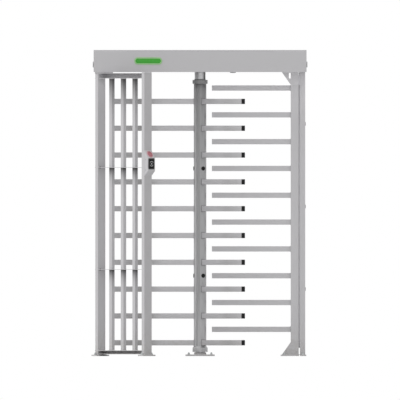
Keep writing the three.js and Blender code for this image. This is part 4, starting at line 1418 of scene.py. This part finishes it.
def makeControlBoxParts():
    (lowX, lowY), (highX, highY), top = inside["controlBox"]
    bm = bmesh.new()
    cover = inside["cover"]
    lid, gap, margin = top + cover["thickness"], cover["gap"], cover["screwMargin"]
    low, high = (lowX + gap, lowY + gap, top - cover["skirt"]), (highX - gap, highY - gap, lid)
    roundTube(bm, low, high, 2, 0.006, 0.0014, 4)
    for x, y in product((lowX + margin, highX - margin), (lowY + margin, highY - margin)):
        socketHead(bm, "cover", at(x, y, lid))
    (nut, nutEnd), (sleeve, sleeveEnd) = wiring["glandNut"], wiring["glandSleeve"]
    for y in wiring["glands"]:
        # cable glands towards the rotor
        inwards = at(lowX + 0.0005, y, wiring["glandHeight"]) @ turned(-90, "Y")
        hexShape(bm, nut, 0, nutEnd, 0.0006, inwards)
        discShape(bm, sleeve, nutEnd, sleeveEnd, 0.002, 32, inwards)
    finishPiece(bm, "controlBoxCover", "black_plastic", caseFinish)


def makeSupplyParts():
    (lowX, lowY), (highX, highY), top = inside["supply"]
    bm = bmesh.new()
    for i, middle in product(range(supply["louvres"]), (-0.022, 0.022)):
        x = lowX + supply["louvreStart"] + i * supply["louvrePitch"]
        low, high = (x - 0.0021, middle - 0.016, top - 0.0002), (x + 0.0021, middle + 0.016, top + 0.0011)
        roundedBox(bm, low, high, 0.0008)
    for x, y in product((lowX + 0.007, highX - 0.034), (lowY + 0.007, highY - 0.007)):
        socketHead(bm, "supply", at(x, y, top))
    finishPiece(bm, "supplyLouvres", "zinc_steel")
    bm = bmesh.new()
    block = top + 0.009
    roundedBox(bm, (highX - 0.026, lowY + 0.006, top - 0.0005), (highX - 0.004, highY - 0.006, block), 0.0010)
    for i in range(supply["terminals"]):
        # a wall and a screw for each terminal
        y = lowY + 0.0155 + i * supply["terminalPitch"]
        low, high = (highX - 0.0255, y + 0.0060, block - 0.0005), (highX - 0.0045, y + 0.0074, block + 0.003)
        roundedBox(bm, low, high, 0.0004, 1)
        socketHead(bm, "terminal", at(highX - 0.015, y, block))
    finishPiece(bm, "supplyTerminals", "black_plastic", caseFinish)


def slope(heading, rise):
    # two bends that carry a cable up or down and leave it level again
    side = Vector((0, 0, 1 if rise > 0 else -1))
    angle = acos(1 - abs(rise) / (2 * wiring["bend"]))
    return [(side, angle), (Vector(heading) * sin(angle) - side * cos(angle), angle)]


def makeCable(bm, start, heading, moves):
    # a ring of edges carried along; a move is a straight length or (direction to bend to, angle)
    spot, heading = Vector(start), Vector(heading)
    facing = Matrix.Translation(spot) @ heading.to_track_quat("Z", "Y").to_matrix().to_4x4()
    ring = bmesh.ops.create_circle(
        bm, cap_ends=False, segments=wiring["sides"], radius=wiring["radius"], matrix=facing,
    )["verts"]
    firstRing = ring
    for move in moves:
        axis, centre, travel, angle, steps = heading, spot, Vector(), 0, 1
        if isinstance(move, tuple):
            side, angle, steps = Vector(move[0]), move[1], wiring["bendSteps"]
            axis, centre = heading.cross(side), spot + side * wiring["bend"]
        else:
            travel = heading * move
        spun = bmesh.ops.spin(
            bm, geom=ring + edgesAmong(ring), cent=centre, axis=axis, dvec=travel, angle=angle,
            steps=steps, use_merge=False,
        )
        turn = Matrix.Rotation(angle, 3, axis)
        spot, heading = centre + turn @ (spot - centre) + travel, turn @ heading
        ring = [item for item in spun["geom_last"] if isinstance(item, bmesh.types.BMVert)]
    for ends in (firstRing, ring):
        bmesh.ops.contextual_create(bm, geom=edgesAmong(ends))


def makeWiring():
    bm = bmesh.new()
    left, right, rear, front = (-1, 0, 0), (1, 0, 0), (0, 1, 0), (0, -1, 0)
    lift = wiring["lift"]
    lay = header["floor"] + wiring["radius"] + lift
    fall, rise, quarter = lay - wiring["glandHeight"], wiring["coilHeight"] - lay, pi / 2
    start = [0.005, *slope(left, fall)]
    routes = [
        # to the right hand solenoid, to the left hand one, and to the power supply
        [*start, 0.020, *slope(left, rise), 0.0215],
        [
            *start, 0.030, (rear, quarter), 0.186, (left, quarter), 0.620, (front, quarter), 0.151,
            (right, quarter), *slope(right, rise), 0.0064,
        ],
        [
            *start, 0.010, (rear, quarter), 0.160, (left, quarter), 0.7325, (front, quarter), 0.165,
            (left, quarter), 0.0190,
        ],
    ]
    startX = inside["controlBox"][0][0] - 0.0120
    for y, moves in zip(wiring["glands"], routes):
        makeCable(bm, (startX, y, wiring["glandHeight"]), left, moves)
    finishPiece(bm, "headerCables", "black_plastic")
    bm = bmesh.new()
    top, middle, leg = lay + wiring["radius"], wiring["saddleY"], wiring["saddleLeg"]
    (halfX, halfY), strapTop = wiring["saddleHalf"], top + wiring["saddleThickness"]
    for x in wiring["saddles"]:
        # a strap over the cables, its two legs and its screw
        roundedBox(bm, (x - halfX, middle - halfY, top + lift), (x + halfX, middle + halfY, strapTop), 0.0005)
        for y in (middle - leg, middle + leg):
            low, high = (x - halfX, y - 0.0013, header["floor"] + lift), (x + halfX, y + 0.0013, top + 0.0014)
            roundedBox(bm, low, high, 0.0004)
        socketHead(bm, "saddle", at(x, middle, strapTop), steps=24)
    finishPiece(bm, "cableSaddles", "zinc_steel")


def makeLidBuffers():
    # rubber buffers that the lid shuts on
    bm = bmesh.new()
    across, y, z = inside["buffers"]
    for x in across:
        discShape(bm, 0.008, 0, 0.0016, 0.0005, 32, at(x, y, z) @ turned(180, "X"))
    finishPiece(bm, "lidBuffers", "black_plastic", body="lid")


makeHeaderBolts()
makeSolenoidYoke("solenoidYokeRight", 0)
makeSolenoidYoke("solenoidYokeLeft", 180)
makeControlBoxParts()
makeSupplyParts()
makeWiring()
makeLidBuffers()
print("header fittings made")
